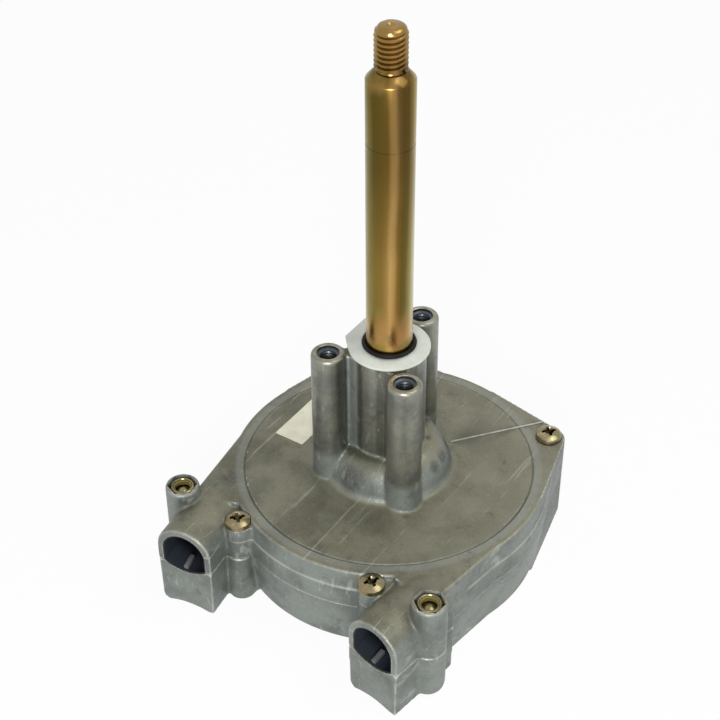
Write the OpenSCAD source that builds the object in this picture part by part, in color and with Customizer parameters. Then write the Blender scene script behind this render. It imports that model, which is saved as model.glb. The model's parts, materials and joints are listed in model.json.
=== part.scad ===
// Boat steering helm: a planetary rotary helm with a wheel shaft, a toothed cable wheel and two
// cable outlets. Millimetres, +Z along the wheel shaft, the origin on the shaft axis in the
// plane of the flat rear face, the two cable outlets towards -Y.

/* [Steering shaft] */
// Diameter of the wheel shaft
shaft_d = 19.05; // [17:0.05:20]
// Length of the plain shaft above the tower washer
shaft_reach = 120.7; // [90:0.1:150]
// Length of the wheel seat at the top of the plain shaft
seat_len = 25.9; // [18:0.1:34]
// Width of the shallow line turned below the wheel seat
seat_line_w = 0.6; // [0.6:0.1:1]
// Diameter of the threaded stub for the wheel nut
thread_d = 12.7; // [10:0.1:14]
// Length of the threaded stub above the shoulder cone
thread_len = 17.4; // [12:0.1:24]
// Height of the cone between the plain shaft and the stub
shoulder_h = 3.2; // [2:0.1:5]
// Width across the flats of the square that drives the pinion
drive_square = 8; // [7:0.1:8.4]
// Radial running clearance of every shaft and pin in its bush
run_gap = 0.05; // [0.02:0.01:0.09]

/* [Housing and cover] */
// Height of the rear housing, up to the parting face
housing_h = 24; // [23:0.1:27]
// Height of the front cover, from the parting face to its plate
cover_h = 18.5; // [17.5:0.1:22]
// Wall thickness of the round shells
wall_t = 3.3; // [2.5:0.1:4.5]
// Thickness of the cover plate
plate_t = 4; // [3:0.1:4.4]
// Thickness of the housing floor
floor_t = 4; // [3.4:0.1:5]
// Height of the wider rim at the foot of the cover
flange_h = 9.5; // [6:0.1:12]
// How far that rim stands out from the cover wall
flange_step = 1.2; // [0.6:0.1:2]
// How much the housing radius narrows from the parting face to the rear face
housing_draft = 2.6; // [1:0.1:3.5]
// Radius of the shallow ring groove in the cover plate
ring_groove_r = 62.75; // [55:0.05:64]
// Depth of the recessed panels in the rear face
rear_recess = 1.2; // [0.5:0.1:1.6]

/* [Tower] */
// Outer diameter of the shaft tower
tower_d = 31; // [29:0.1:33]
// Height of the tower above the cover plate
tower_h = 63.2; // [50:0.1:80]
// Bore of the tower, which holds the bushes
tower_bore_d = 24; // [23.5:0.1:25]
// Outer diameter of the domed hub at the foot of the tower
hub_d = 54; // [48:0.1:60]
// Height of the domed hub above the cover plate
hub_h = 15.5; // [10:0.1:22]
// Diameter of the three mounting bosses
boss_d = 14.6; // [12:0.1:15]
// Diameter of the circle that the mounting bosses stand on
boss_pcd = 50.8; // [49:0.1:56]
// Angle of the two front bosses from the outlet direction
boss_angle = 46.8; // [40:0.1:55]
// Diameter of the mounting holes
mount_hole_d = 7.94; // [6:0.01:9]
// Depth of the mounting holes
mount_hole_depth = 26; // [16:0.1:40]
// Thickness of the webs between the tower and its bosses
web_t = 10; // [6:0.1:11]
// Diameter of the tower washer
washer_d = 34.2; // [32:0.1:35]
// Thickness of the tower washer
washer_h = 1.2; // [0.8:0.1:2]
// Distance from the axis to the straight edge of the washer tab
tab_reach = 18.2; // [17.5:0.1:20]

/* [Cable wheel and gears] */
// Radius at which the cable core lies in the cable wheel
cable_path_r = 59.2; // [58:0.1:61]
// Diameter of the wound cable core
cable_d = 11; // [9:0.1:11.4]
// Gap between the cable core and the cover wall
cable_gap = 0.8; // [0.4:0.1:1.5]
// Height of the cable path above the parting face
cable_rise = 6.9; // [6.8:0.1:8]
// Gear module
gear_module = 1.8; // [1.7:0.01:1.85]
// Face width of the planet gears
gear_w = 11.5; // [9:0.1:12]
// Backlash at the pitch line of each mesh
backlash = 0.16; // [0.1:0.01:0.3]
// Diameter of the planet pins
pin_d = 8; // [6:0.1:9]
// Wall of the planet and bearing bushes
bush_t = 2.2; // [1.5:0.1:2.6]
// Thickness of the flat thrust washers
thrust_t = 0.9; // [0.6:0.1:1.1]
// End play between a turning face and its washer
end_play = 0.1; // [0.05:0.01:0.2]

/* [Cable outlets] */
// Angle by which each outlet leans towards the centre line
outlet_tilt = 8.6; // [0:0.1:12]
// Distance from the shaft axis to the outlet face, along the outlet
outlet_reach = 77.2; // [74:0.1:90]
// Outer diameter of the outlet barrel
barrel_d = 25.2; // [24.4:0.1:27]
// Height of the barrel axis above the parting face
barrel_rise = 8.8; // [7:0.1:10]
// Diameter of the cable socket in the outlet
socket_d = 20.2; // [18:0.1:21]
// Depth of the cable socket
socket_depth = 26.8; // [22:0.1:27]
// Depth of the hollow in the housing under the socket
saddle_depth = 3; // [1.5:0.1:4]
// Wall of the plastic cable guide in the socket
guide_t = 1.4; // [1:0.1:2]
// How far the outlet arms' outer walls stay inside the round body
arm_inset = 0.7; // [0.4:0.1:1.5]
// Depth of the hollow along the underside of each outlet
under_hollow = 2; // [1:0.1:3]

/* [Fasteners] */
// Diameter of the nut bosses beside the outlets
nut_boss_d = 14.6; // [14:0.1:16]
// Height of the nut bosses above the cover plate
nut_boss_rise = 6.5; // [3:0.1:10]
// Distance of the nut bosses outwards from the cable path
nut_boss_out = 11.2; // [10.5:0.1:12]
// Distance of the nut bosses back from the outlet face
nut_boss_back = 21.1; // [17:0.1:22]
// Diameter of the clamp bolts
bolt_d = 6.35; // [5:0.05:7]
// Width across the flats of the lock nuts
nut_af = 11.1; // [10:0.1:11.3]
// Height of the lock nuts
nut_h = 7.6; // [6:0.1:9]
// Diameter of the cover screws
screw_d = 5.5; // [4:0.1:6]
// Head diameter of the cover screws
screw_head_d = 10.7; // [9:0.1:12]
// Head height of the cover screws
screw_head_h = 3.6; // [2.5:0.1:4.5]
// Diameter of the front screw bosses
screw_boss_d = 10.4; // [10:0.1:12]
// How far the front screw bosses stay below the cover plate
screw_boss_drop = 2.5; // [0:0.1:5]
// Radius of the circle of the rear screws
rear_screw_r = 73; // [72:0.1:76]
// Angle of the rear screws from the rear centre line
rear_screw_angle = 44; // [30:0.1:55]
// Corner radius of the rear screw lobes
lobe_r = 7.3; // [6:0.1:9]
// How far the flanks of the lobes stay inside the circles that they join
lobe_inset = 0.3; // [0.2:0.1:0.6]
// Clearance round the fasteners and in the nut pockets
fit_gap = 0.15; // [0.1:0.01:0.3]

/* [Label] */
// Width of the blank label
label_w = 14.5; // [8:0.1:16]
// Length of the blank label
label_len = 35.5; // [15:0.1:40]
// Distance from the shaft axis to the middle of the label
label_off = 45.2; // [42:0.1:50]

/* [Hidden] */

$fn = 96;
sun_teeth = 10;
planet_teeth = 20;
ring_teeth = sun_teeth + 2 * planet_teeth;
pressure_angle = 25;
planet_angles = [90, 210, 330];
flank_steps = 4;
eps = 0.01;
// Small offset that keeps flat sides from merely touching round ones
joint = 0.06;
through = 1;
slab_h = 20;

// Radii that follow from the driving sizes
shaft_r = shaft_d / 2;
tower_r = tower_d / 2;
tower_bore_r = tower_bore_d / 2;
cavity_r = cable_path_r + cable_d / 2 + cable_gap;
cover_r = cavity_r + wall_t;
flange_r = cover_r + flange_step;
housing_top_r = flange_r - 0.5;
housing_foot_r = housing_top_r - housing_draft;
housing_cavity_r = housing_foot_r - wall_t;
groove_r = cable_d / 2 + 0.1;
barrel_r = barrel_d / 2;
socket_r = socket_d / 2;
passage_r = cable_d / 2 + 0.5;
boss_r = boss_d / 2;
nut_boss_r = nut_boss_d / 2;
screw_boss_r = screw_boss_d / 2;
pin_r = pin_d / 2;
sun_r = gear_module * sun_teeth / 2;
planet_r = gear_module * planet_teeth / 2;
ring_r = gear_module * ring_teeth / 2;
planet_path_r = sun_r + planet_r;
ring_root_r = ring_r + 1.25 * gear_module;
ring_outer_r = ring_root_r + 3.25;
dowel_r = 1.5;
skirt_r = ring_outer_r + 4;
rim_r = cable_path_r + 1.8;
rim_inner_r = ring_outer_r - 3;
bearing_r = tower_r + bush_t + 0.8;
wheel_hub_r = bearing_r + 4;
journal_r = drive_square / 2;
chamfer = 0.8;

// Heights of the stack, from the rear face upwards
plate_z = housing_h + cover_h;
plate_under_z = plate_z - plate_t;
flange_z = housing_h + flange_h;
tower_z = plate_z + tower_h;
washer_z = tower_z + washer_h;
shoulder_z = washer_z + shaft_reach;
stub_z = shoulder_z + shoulder_h;
tip_z = stub_z + thread_len;
cable_z = housing_h + cable_rise;
barrel_z = housing_h + barrel_rise;
seat_h = 5;
seat_z = floor_t + seat_h;
gear_z = seat_z + thrust_t + end_play;
gear_top_z = gear_z + gear_w;
pin_plate_z = gear_top_z + end_play + thrust_t;
pin_plate_t = 2;
pin_clip_z = pin_plate_z + pin_plate_t;
clip_t = 0.9;
pin_top_z = pin_clip_z + clip_t + 0.6;
wheel_web_z = pin_top_z + 0.8;
wheel_web_t = 3;
rim_half = groove_r + 0.8;
rim_z = cable_z - rim_half;
rim_top_z = cable_z + rim_half;
skirt_z = gear_z - 0.7;
ring_z = gear_z - 0.4;
ring_top_z = gear_top_z + 0.7;
wheel_washer_z = plate_under_z - thrust_t;
hub_top_z = wheel_washer_z - end_play;
wheel_circlip_z = wheel_web_z - 0.2 - clip_t;
inner_boss_z = wheel_circlip_z - 2.4;
shaft_foot_z = gear_top_z + 0.5;
shaft_circlip_z = inner_boss_z + 0.5;
shaft_washer_z = shaft_circlip_z + clip_t + end_play;
lower_bush_z = shaft_washer_z + thrust_t;
lower_bush_top_z = plate_z + 2;
upper_bush_len = 14;
upper_bush_z = tower_z - upper_bush_len - 0.4;
pocket_z = 2.2;
journal_z = pocket_z + 0.4;
floor_boss_z = gear_z - thrust_t - end_play - 0.1;
floor_boss_r = 11;
floor_bush_r = journal_r + 3.5;
pinion_z = gear_z;
nut_boss_z = plate_z + nut_boss_rise;
nut_z = nut_boss_z - nut_h - 0.5;
bolt_head_r = 5.5;
bolt_head_h = 4;
bolt_head_z = 0.4;
bolt_tip_z = nut_boss_z - 0.9;
front_screw_z = plate_z - screw_boss_drop;
screw_tip_z = 8;
nut_boss_x = cable_path_r + nut_boss_out;
nut_boss_along = outlet_reach - nut_boss_back;
arm_inner_x = cable_path_r - barrel_r;
arm_end = nut_boss_along - 5;
front_screw_x = arm_inner_x - screw_boss_r + 1.3;
front_screw_y = -nut_boss_along - 2.9;
flank_len = 12;
socket_end_y = socket_depth - outlet_reach;
passage_end_y = -cable_d;
block_len = socket_depth + 9;
barrel_len = socket_depth + 3.2;
hex_corner = 2 / sqrt(3);
o_ring_r = 0.93;
boss_angles = [90, 270 - boss_angle, 270 + boss_angle];
rear_screw_angles = [90 - rear_screw_angle, 90 + rear_screw_angle];

// Polar helpers
function polar(r, a) = [r * cos(a), r * sin(a)];
function involute(alpha) = tan(alpha) - alpha * PI / 180;
// Half the angle that a tooth spans at radius r
function tooth_half(r, teeth, slack) =
    let (base = gear_module * teeth / 2 * cos(pressure_angle))
    let (alpha = acos(min(1, base / r)))
    let (pitch_half = 90 / teeth - slack / 2 * 180 / PI / (gear_module * teeth / 2))
    pitch_half + (involute(pressure_angle) - involute(alpha)) * 180 / PI;
// Outline of a gear with a tooth centred on angle phase
function gear_outline(teeth, root, tip, slack, phase) = [
    for (k = [0 : teeth - 1], side = [-1, 1], i = [0 : flank_steps])
        let (s = side < 0 ? i : flank_steps - i)
        let (r = root + (tip - root) * s / flank_steps)
        polar(r, phase + k * 360 / teeth + side * tooth_half(r, teeth, slack))
];
// Angle of one tooth of a planet at pole angle a, in mesh with a pinion tooth at angle 0
function planet_phase(a) = a * (1 + sun_teeth / planet_teeth) + 180 + 180 / planet_teeth;
// Angle of one tooth space of the ring gear, in mesh with that planet
function ring_phase(a) =
    a + (planet_phase(a) - a) * planet_teeth / ring_teeth;

// Places its children in the outlet's own frame: x from the shaft axis to the cable path,
// -y along the cable as it leaves
module on_outlet(side) {
    mirror([side < 0 ? 1 : 0, 0, 0])
        rotate([0, 0, -outlet_tilt])
            children();
}

// A ring between two radii
module tube(r_out, r_in, z0, z1) {
    translate([0, 0, z0])
        difference() {
            cylinder(r = r_out, h = z1 - z0);
            translate([0, 0, -through])
                cylinder(r = r_in, h = z1 - z0 + 2 * through);
        }
}

// A straight prism of a cross-section in x and z, from y0 to y1
module along_y(points, y0, y1) {
    translate([0, y1, 0])
        rotate([90, 0, 0])
            linear_extrude(y1 - y0)
                polygon(points);
}

// Straight-sided ear from the round body out to a screw lobe
module lobe(body, lobe_radius, a, z0, z1) {
    off = acos((body - lobe_radius) / rear_screw_r);
    centre = polar(rear_screw_r, a);
    translate([0, 0, z0])
        linear_extrude(z1 - z0)
            polygon([
                [0, 0],
                polar(body - lobe_inset, a - off),
                centre + polar(lobe_radius - lobe_inset, a - off),
                centre + polar(lobe_radius - lobe_inset, a + off),
                polar(body - lobe_inset, a + off)
            ]);
    translate([centre[0], centre[1], z0])
        cylinder(r = lobe_radius, h = z1 - z0);
}

// Wide flat block that trims a body to a plane
module slab(z) {
    translate([-2 * outlet_reach, -2 * outlet_reach, z])
        cube([4 * outlet_reach, 4 * outlet_reach, slab_h]);
}

// Bore or slot along the outlet
module outlet_bore(r, z, y0, y1) {
    translate([cable_path_r, y1, z])
        rotate([90, 0, 0])
            cylinder(r = r, h = y1 - y0);
}

module cover_shell() {
    rotate_extrude()
        polygon([
            [0, housing_h - through],
            [flange_r, housing_h - through],
            [flange_r, flange_z - chamfer / 2],
            [flange_r - chamfer / 2, flange_z],
            [cover_r, flange_z],
            [cover_r, plate_z - chamfer],
            [cover_r - chamfer - through, plate_z + through],
            [0, plate_z + through]
        ]);
    for (a = rear_screw_angles)
        lobe(cover_r, lobe_r, a, housing_h - through, plate_z + through);
}

// Outlet barrel, a straight round body whose inner end is rounded off
module barrel() {
    translate([cable_path_r, -outlet_reach, barrel_z])
        rotate([-90, 0, 0])
            rotate_extrude()
                polygon([
                    [0, 0],
                    [barrel_r, 0],
                    for (a = [0 : 15 : 75])
                        [barrel_r * cos(a), barrel_len + barrel_r * sin(a)],
                    [0, barrel_len + barrel_r]
                ]);
}

// Arm of the cover that leads from the round body to the outlet
module cover_arm(side) {
    wall = cover_r - arm_inset;
    rim = flange_r - arm_inset;
    on_outlet(side)
        along_y([
            [arm_inner_x + 1, housing_h - through],
            [rim, housing_h - through],
            [rim, flange_z - 2 * fit_gap],
            [wall, flange_z - fit_gap],
            [wall, plate_z - chamfer - fit_gap],
            [wall - chamfer - through, plate_z + through - fit_gap],
            [arm_inner_x + 1, plate_z + through]
        ], -arm_end, 1);
}

// Everything of one outlet that stands on the cover
module cover_outlet(side) {
    on_outlet(side) {
        barrel();
        translate([arm_inner_x + joint, -outlet_reach, housing_h - through])
            cube([barrel_d - 2 * joint, block_len, barrel_rise + through]);
        translate([nut_boss_x, -nut_boss_along, housing_h - through])
            cylinder(r = nut_boss_r, h = nut_boss_z - housing_h + through);
        translate([front_screw_x, front_screw_y, housing_h - through])
            cylinder(r = screw_boss_r, h = front_screw_z - housing_h + through);
    }
}

module tower_shape() {
    translate([0, 0, inner_boss_z])
        cylinder(r = tower_r, h = tower_z - inner_boss_z);
    rotate_extrude()
        polygon([
            [0, plate_z - eps],
            [hub_d / 2, plate_z - eps],
            for (a = [0 : 10 : 90])
                [tower_r - eps + (hub_d / 2 - tower_r) * cos(a), plate_z + hub_h * sin(a)],
            [0, plate_z + hub_h]
        ]);
    for (a = boss_angles) {
        rotate([0, 0, a]) {
            translate([boss_pcd / 2, 0, plate_z - eps])
                cylinder(r = boss_r, h = tower_h + eps);
            translate([0, -web_t / 2, plate_z - eps])
                cube([boss_pcd / 2, web_t, tower_h - 0.4]);
        }
    }
}

module front_cover() {
    color([0.60, 0.61, 0.56])
        difference() {
            union() {
                difference() {
                    union() {
                        difference() {
                            union() {
                                cover_shell();
                                cover_arm(1);
                                cover_arm(-1);
                            }
                            slab(plate_z);
                        }
                        cover_outlet(1);
                        cover_outlet(-1);
                    }
                    slab(housing_h - slab_h);
                    translate([0, 0, housing_h - through])
                        cylinder(r = cavity_r, h = plate_under_z - housing_h + through);
                }
                tower_shape();
            }
            translate([0, 0, inner_boss_z - through])
                cylinder(r = tower_bore_r, h = tower_z - inner_boss_z + 2 * through);
            tube(tower_r + through, tower_r - 1.1, wheel_circlip_z - eps, wheel_circlip_z + clip_t + eps);
            tube(ring_groove_r + 0.35, ring_groove_r - 0.35, plate_z - 0.4, plate_z + through);
            for (a = boss_angles)
                rotate([0, 0, a])
                    translate([boss_pcd / 2, 0, tower_z])
                        mount_hole();
            for (side = [-1, 1])
                on_outlet(side)
                    outlet_cuts();
            for (a = rear_screw_angles)
                rotate([0, 0, a])
                    translate([rear_screw_r, 0, housing_h - through])
                        cylinder(r = screw_d / 2 + fit_gap, h = cover_h + 2 * through);
        }
}

// Mounting hole with a countersunk mouth, its mouth at z = 0
module mount_hole() {
    translate([0, 0, -mount_hole_depth])
        cylinder(d = mount_hole_d, h = mount_hole_depth + through);
    translate([0, 0, -chamfer])
        cylinder(r1 = mount_hole_d / 2, r2 = mount_hole_d / 2 + chamfer + eps, h = chamfer + eps);
}

// Everything cut out of one outlet of the cover
module outlet_cuts() {
    outlet_bore(socket_r, cable_z, -outlet_reach - through, socket_end_y);
    translate([cable_path_r - socket_r + joint, -outlet_reach - through, housing_h - through])
        cube([socket_d - 2 * joint, socket_depth + through - joint, cable_rise + through]);
    outlet_bore(passage_r, cable_z, socket_end_y - eps, passage_end_y);
    translate([nut_boss_x, -nut_boss_along, housing_h - through]) {
        cylinder(r = bolt_d / 2 + fit_gap, h = nut_boss_z - housing_h + 2 * through);
        translate([0, 0, nut_z - housing_h + through])
            rotate([0, 0, 30])
                cylinder(r = (nut_af / 2 + fit_gap) * hex_corner, h = nut_h + 2 * through, $fn = 6);
    }
    translate([front_screw_x, front_screw_y, housing_h - through])
        cylinder(r = screw_d / 2 + fit_gap, h = cover_h + 2 * through);
    translate([front_screw_x, front_screw_y, front_screw_z])
        cylinder(r = screw_head_d / 2 + 2 * fit_gap, h = screw_head_h + screw_boss_drop);
}

module housing_outlet(side) {
    slope = housing_draft / housing_h;
    on_outlet(side) {
        along_y([
            [arm_inner_x + 1, -through],
            [housing_foot_r - arm_inset - through * slope, -through],
            [housing_top_r - arm_inset + through * slope, housing_h + through],
            [arm_inner_x + 1, housing_h + through]
        ], -arm_end, 1);
        translate([arm_inner_x + joint, -outlet_reach, -through])
            cube([barrel_d - 2 * joint, block_len, housing_h + 2 * through]);
        translate([nut_boss_x, -nut_boss_along, -through])
            rotate_extrude()
                polygon([
                    [0, 0],
                    [nut_boss_r - 2.6, 0],
                    [nut_boss_r, 3 + through],
                    [nut_boss_r, housing_h + 2 * through],
                    [0, housing_h + 2 * through]
                ]);
        translate([front_screw_x, front_screw_y, -through])
            cylinder(r = screw_boss_r + 0.4, h = housing_h + 2 * through);
        along_y([
            [front_screw_x - screw_boss_r - 3, -through],
            [front_screw_x + screw_boss_r, -through],
            [front_screw_x + screw_boss_r, housing_h + through],
            [front_screw_x - screw_boss_r, housing_h + through]
        ], front_screw_y, front_screw_y + flank_len);
    }
}

module housing_outlet_cuts() {
    saddle_r = (socket_r * socket_r + saddle_depth * saddle_depth) / (2 * saddle_depth);
    saddle_half = asin(socket_r / saddle_r);
    hollow_half = barrel_r - 1;
    hollow_r = (hollow_half * hollow_half + under_hollow * under_hollow) / (2 * under_hollow);
    along_y([
        for (i = [-5 : 5])
            let (a = i * saddle_half / 6)
            [cable_path_r + saddle_r * sin(a), housing_h - saddle_depth + saddle_r * (1 - cos(a))],
        [cable_path_r + socket_r, housing_h + joint],
        [cable_path_r + socket_r, housing_h + through],
        [cable_path_r - socket_r, housing_h + through],
        [cable_path_r - socket_r, housing_h + joint]
    ], -outlet_reach - through, socket_end_y);
    outlet_bore(hollow_r, under_hollow - hollow_r, -outlet_reach - through, -nut_boss_along + 4);
    translate([nut_boss_x, -nut_boss_along, -through]) {
        cylinder(r = bolt_d / 2 + fit_gap, h = housing_h + 2 * through);
        cylinder(r = bolt_head_r + fit_gap, h = bolt_head_z + bolt_head_h + through);
    }
    translate([front_screw_x, front_screw_y, screw_tip_z - 1])
        cylinder(r = screw_d / 2 + fit_gap, h = housing_h);
}

module rear_housing() {
    slope = housing_draft / housing_h;
    color([0.57, 0.59, 0.56])
        difference() {
            union() {
                difference() {
                    union() {
                        translate([0, 0, -through])
                            cylinder(r1 = housing_foot_r - through * slope,
                                     r2 = housing_top_r + through * slope,
                                     h = housing_h + 2 * through);
                        for (a = rear_screw_angles)
                            lobe(housing_foot_r, lobe_r, a, -through, housing_h + through);
                        housing_outlet(1);
                        housing_outlet(-1);
                    }
                    slab(housing_h);
                    slab(-slab_h);
                    translate([0, 0, floor_t])
                        cylinder(r = housing_cavity_r, h = housing_h);
                }
                for (a = planet_angles)
                    rotate([0, 0, a])
                        translate([planet_path_r, 0, floor_t / 2])
                            cylinder(r = pin_r + 4, h = seat_z - floor_t / 2);
                translate([0, 0, floor_t / 2])
                    cylinder(r = floor_boss_r, h = floor_boss_z - floor_t / 2);
            }
            for (a = planet_angles)
                rotate([0, 0, a])
                    translate([planet_path_r, 0, pocket_z])
                        cylinder(r = pin_r, h = seat_z);
            translate([0, 0, pocket_z])
                cylinder(r = floor_bush_r, h = housing_h);
            for (side = [-1, 1])
                on_outlet(side)
                    housing_outlet_cuts();
            for (a = rear_screw_angles)
                rotate([0, 0, a])
                    translate([rear_screw_r, 0, screw_tip_z - 1])
                        cylinder(r = screw_d / 2 + fit_gap, h = housing_h);
            rear_panels();
        }
}

// Recessed panels between the ribs of the rear face
module rear_panels() {
    panel_in = planet_path_r + pin_r + 5;
    panel_out = housing_foot_r - 8;
    rib_half = 2;
    for (a = [0 : 60 : 300])
        rotate([0, 0, a])
            translate([0, 0, -through])
                linear_extrude(rear_recess + through)
                    polygon([
                        for (b = [-25 : 5 : 25])
                            polar(panel_out, b + rib_half * b / 25),
                        for (b = [25 : -5 : -25])
                            polar(panel_in, b)
                    ]);
}

// Pan-head screw with a cross recess, its head seated at z = 0
module pan_screw(shank) {
    recess = screw_head_d * 0.26;
    difference() {
        union() {
            cylinder(d = screw_head_d, h = screw_head_h * 0.4);
            translate([0, 0, screw_head_h * 0.4])
                cylinder(d1 = screw_head_d, d2 = screw_head_d * 0.86, h = screw_head_h * 0.35);
            translate([0, 0, screw_head_h * 0.75])
                cylinder(d1 = screw_head_d * 0.86, d2 = screw_head_d * 0.5, h = screw_head_h * 0.25);
            translate([0, 0, -shank])
                cylinder(d = screw_d, h = shank + eps);
        }
        for (a = [0, 90])
            rotate([0, 0, a])
                translate([-recess, -0.6, screw_head_h * 0.4])
                    cube([2 * recess, 1.2, screw_head_h]);
    }
}

module cover_screws() {
    color([0.72, 0.62, 0.35]) {
        for (side = [-1, 1])
            on_outlet(side)
                translate([front_screw_x, front_screw_y, front_screw_z])
                    pan_screw(front_screw_z - screw_tip_z);
        for (a = rear_screw_angles)
            rotate([0, 0, a])
                translate([rear_screw_r, 0, plate_z])
                    pan_screw(plate_z - screw_tip_z);
    }
}

module clamp_bolts() {
    color([0.72, 0.62, 0.35])
        for (side = [-1, 1])
            on_outlet(side)
                translate([nut_boss_x, -nut_boss_along, bolt_head_z]) {
                    difference() {
                        cylinder(r = bolt_head_r, h = bolt_head_h);
                        translate([0, 0, -through])
                            cylinder(r = 2.9, h = 2.4 + through, $fn = 6);
                    }
                    cylinder(d = bolt_d, h = bolt_tip_z - bolt_head_z - chamfer);
                    translate([0, 0, bolt_tip_z - bolt_head_z - chamfer])
                        cylinder(d1 = bolt_d, d2 = bolt_d - 2 * chamfer, h = chamfer);
                }
}

module clamp_nuts() {
    color([0.78, 0.68, 0.36])
        for (side = [-1, 1])
            on_outlet(side)
                translate([nut_boss_x, -nut_boss_along, nut_z])
                    difference() {
                        union() {
                            rotate([0, 0, 30])
                                cylinder(r = nut_af / 2 * hex_corner, h = nut_h * 0.7, $fn = 6);
                            cylinder(r = nut_af / 2 - 0.3, h = nut_h);
                        }
                        translate([0, 0, -through])
                            cylinder(r = bolt_d / 2 + run_gap, h = nut_h + 2 * through);
                        translate([0, 0, nut_h * 0.66])
                            cylinder(r = bolt_d / 2 + 1.2, h = nut_h * 0.24);
                    }
}

module nut_rings() {
    color([0.55, 0.60, 0.35])
        for (side = [-1, 1])
            on_outlet(side)
                translate([nut_boss_x, -nut_boss_along, nut_z])
                    tube(bolt_d / 2 + 1.2, bolt_d / 2 + run_gap, nut_h * 0.66, nut_h * 0.9);
}

module upper_bush() {
    color([0.85, 0.84, 0.78])
        tube(tower_bore_r, shaft_r + run_gap, upper_bush_z, upper_bush_z + upper_bush_len);
}

module lower_bush() {
    color([0.85, 0.84, 0.78])
        tube(tower_bore_r, shaft_r + run_gap, lower_bush_z, lower_bush_top_z);
}

module floor_bush() {
    color([0.85, 0.84, 0.78])
        tube(floor_bush_r, journal_r + run_gap, pocket_z, floor_boss_z);
}

module tower_washer() {
    r = washer_d / 2;
    color([0.92, 0.92, 0.88])
        translate([0, 0, tower_z])
            difference() {
                union() {
                    cylinder(r = r, h = washer_h);
                    linear_extrude(washer_h)
                        polygon([
                            [0, 0],
                            polar(r, 224),
                            [-tab_reach, -tab_reach * tan(16)],
                            [-tab_reach, tab_reach * tan(39.5)],
                            polar(r, 107)
                        ]);
                }
                translate([0, 0, -through])
                    cylinder(r = shaft_r + 0.35, h = washer_h + 2 * through);
            }
}

module planet_pins() {
    color([0.70, 0.70, 0.72])
        for (a = planet_angles)
            rotate([0, 0, a])
                translate([planet_path_r, 0, pocket_z])
                    difference() {
                        cylinder(r = pin_r, h = pin_top_z - pocket_z);
                        tube(pin_r + through, pin_r - 0.7, pin_clip_z - pocket_z,
                             pin_clip_z - pocket_z + clip_t);
                    }
}

module planet_washers() {
    color([0.80, 0.72, 0.45])
        for (a = planet_angles)
            rotate([0, 0, a])
                translate([planet_path_r, 0, 0]) {
                    tube(pin_r + 4, pin_r + run_gap, seat_z, seat_z + thrust_t);
                    tube(pin_r + 4, pin_r + run_gap, pin_plate_z - thrust_t, pin_plate_z);
                }
}

module pin_plate() {
    color([0.66, 0.67, 0.68])
        translate([0, 0, pin_plate_z])
            difference() {
                tube(planet_path_r + pin_r + 2.6, tower_r + 1.6, 0, pin_plate_t);
                for (a = planet_angles)
                    rotate([0, 0, a])
                        translate([planet_path_r, 0, -through])
                            cylinder(r = pin_r, h = pin_plate_t + 2 * through);
            }
}

module pin_clips() {
    color([0.30, 0.30, 0.32])
        for (a = planet_angles)
            rotate([0, 0, a])
                translate([planet_path_r, 0, pin_clip_z])
                    open_ring(pin_r + 2.2, pin_r - 0.7, clip_t, 50);
}

// Snap ring with a gap that spans the angle open_deg
module open_ring(r_out, r_in, t, open_deg) {
    difference() {
        tube(r_out, r_in, 0, t);
        translate([0, 0, -through])
            linear_extrude(t + 2 * through)
                polygon([
                    [0, 0],
                    polar(2 * r_out, -open_deg / 2),
                    polar(2 * r_out, open_deg / 2)
                ]);
    }
}

module pinion_washer() {
    color([0.80, 0.72, 0.45])
        tube(floor_boss_r - 1.5, journal_r + 0.3, floor_boss_z, floor_boss_z + thrust_t);
}

module wheel_circlip() {
    color([0.30, 0.30, 0.32])
        translate([0, 0, wheel_circlip_z])
            open_ring(bearing_r - 0.4, tower_r - 1.1, clip_t, 20);
}

module wheel_washer() {
    color([0.92, 0.92, 0.88])
        tube(wheel_hub_r - 0.5, tower_r + 0.3, wheel_washer_z, plate_under_z);
}

module cable_guide(side) {
    guide_r = socket_r - fit_gap;
    guide_in = guide_r - guide_t;
    bar_t = 2;
    color([0.10, 0.11, 0.13])
        on_outlet(side)
            difference() {
                union() {
                    difference() {
                        outlet_bore(guide_r, cable_z, -outlet_reach + 3, socket_end_y - 1);
                        outlet_bore(guide_in, cable_z, -outlet_reach, socket_end_y - 3);
                        outlet_bore(passage_r, cable_z, -outlet_reach, socket_end_y);
                    }
                    translate([cable_path_r, socket_end_y - 10, cable_z])
                        rotate([0, 40, 0])
                            translate([-bar_t / 2 + 5.6, 0, -3.6])
                                cube([bar_t, 8, 7.2]);
                }
                translate([nut_boss_x, -nut_boss_along, housing_h - 2 * saddle_depth])
                    cylinder(r = bolt_d / 2 + 0.4, h = cover_h + 2 * saddle_depth);
                translate([cable_path_r - socket_r, -outlet_reach, 0])
                    cube([socket_d, socket_depth, housing_h - saddle_depth / 2]);
            }
}

module blank_label() {
    color([0.90, 0.88, 0.74])
        translate([-label_off - label_w / 2, -11.5, plate_z])
            cube([label_w, label_len, 0.2]);
}

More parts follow.
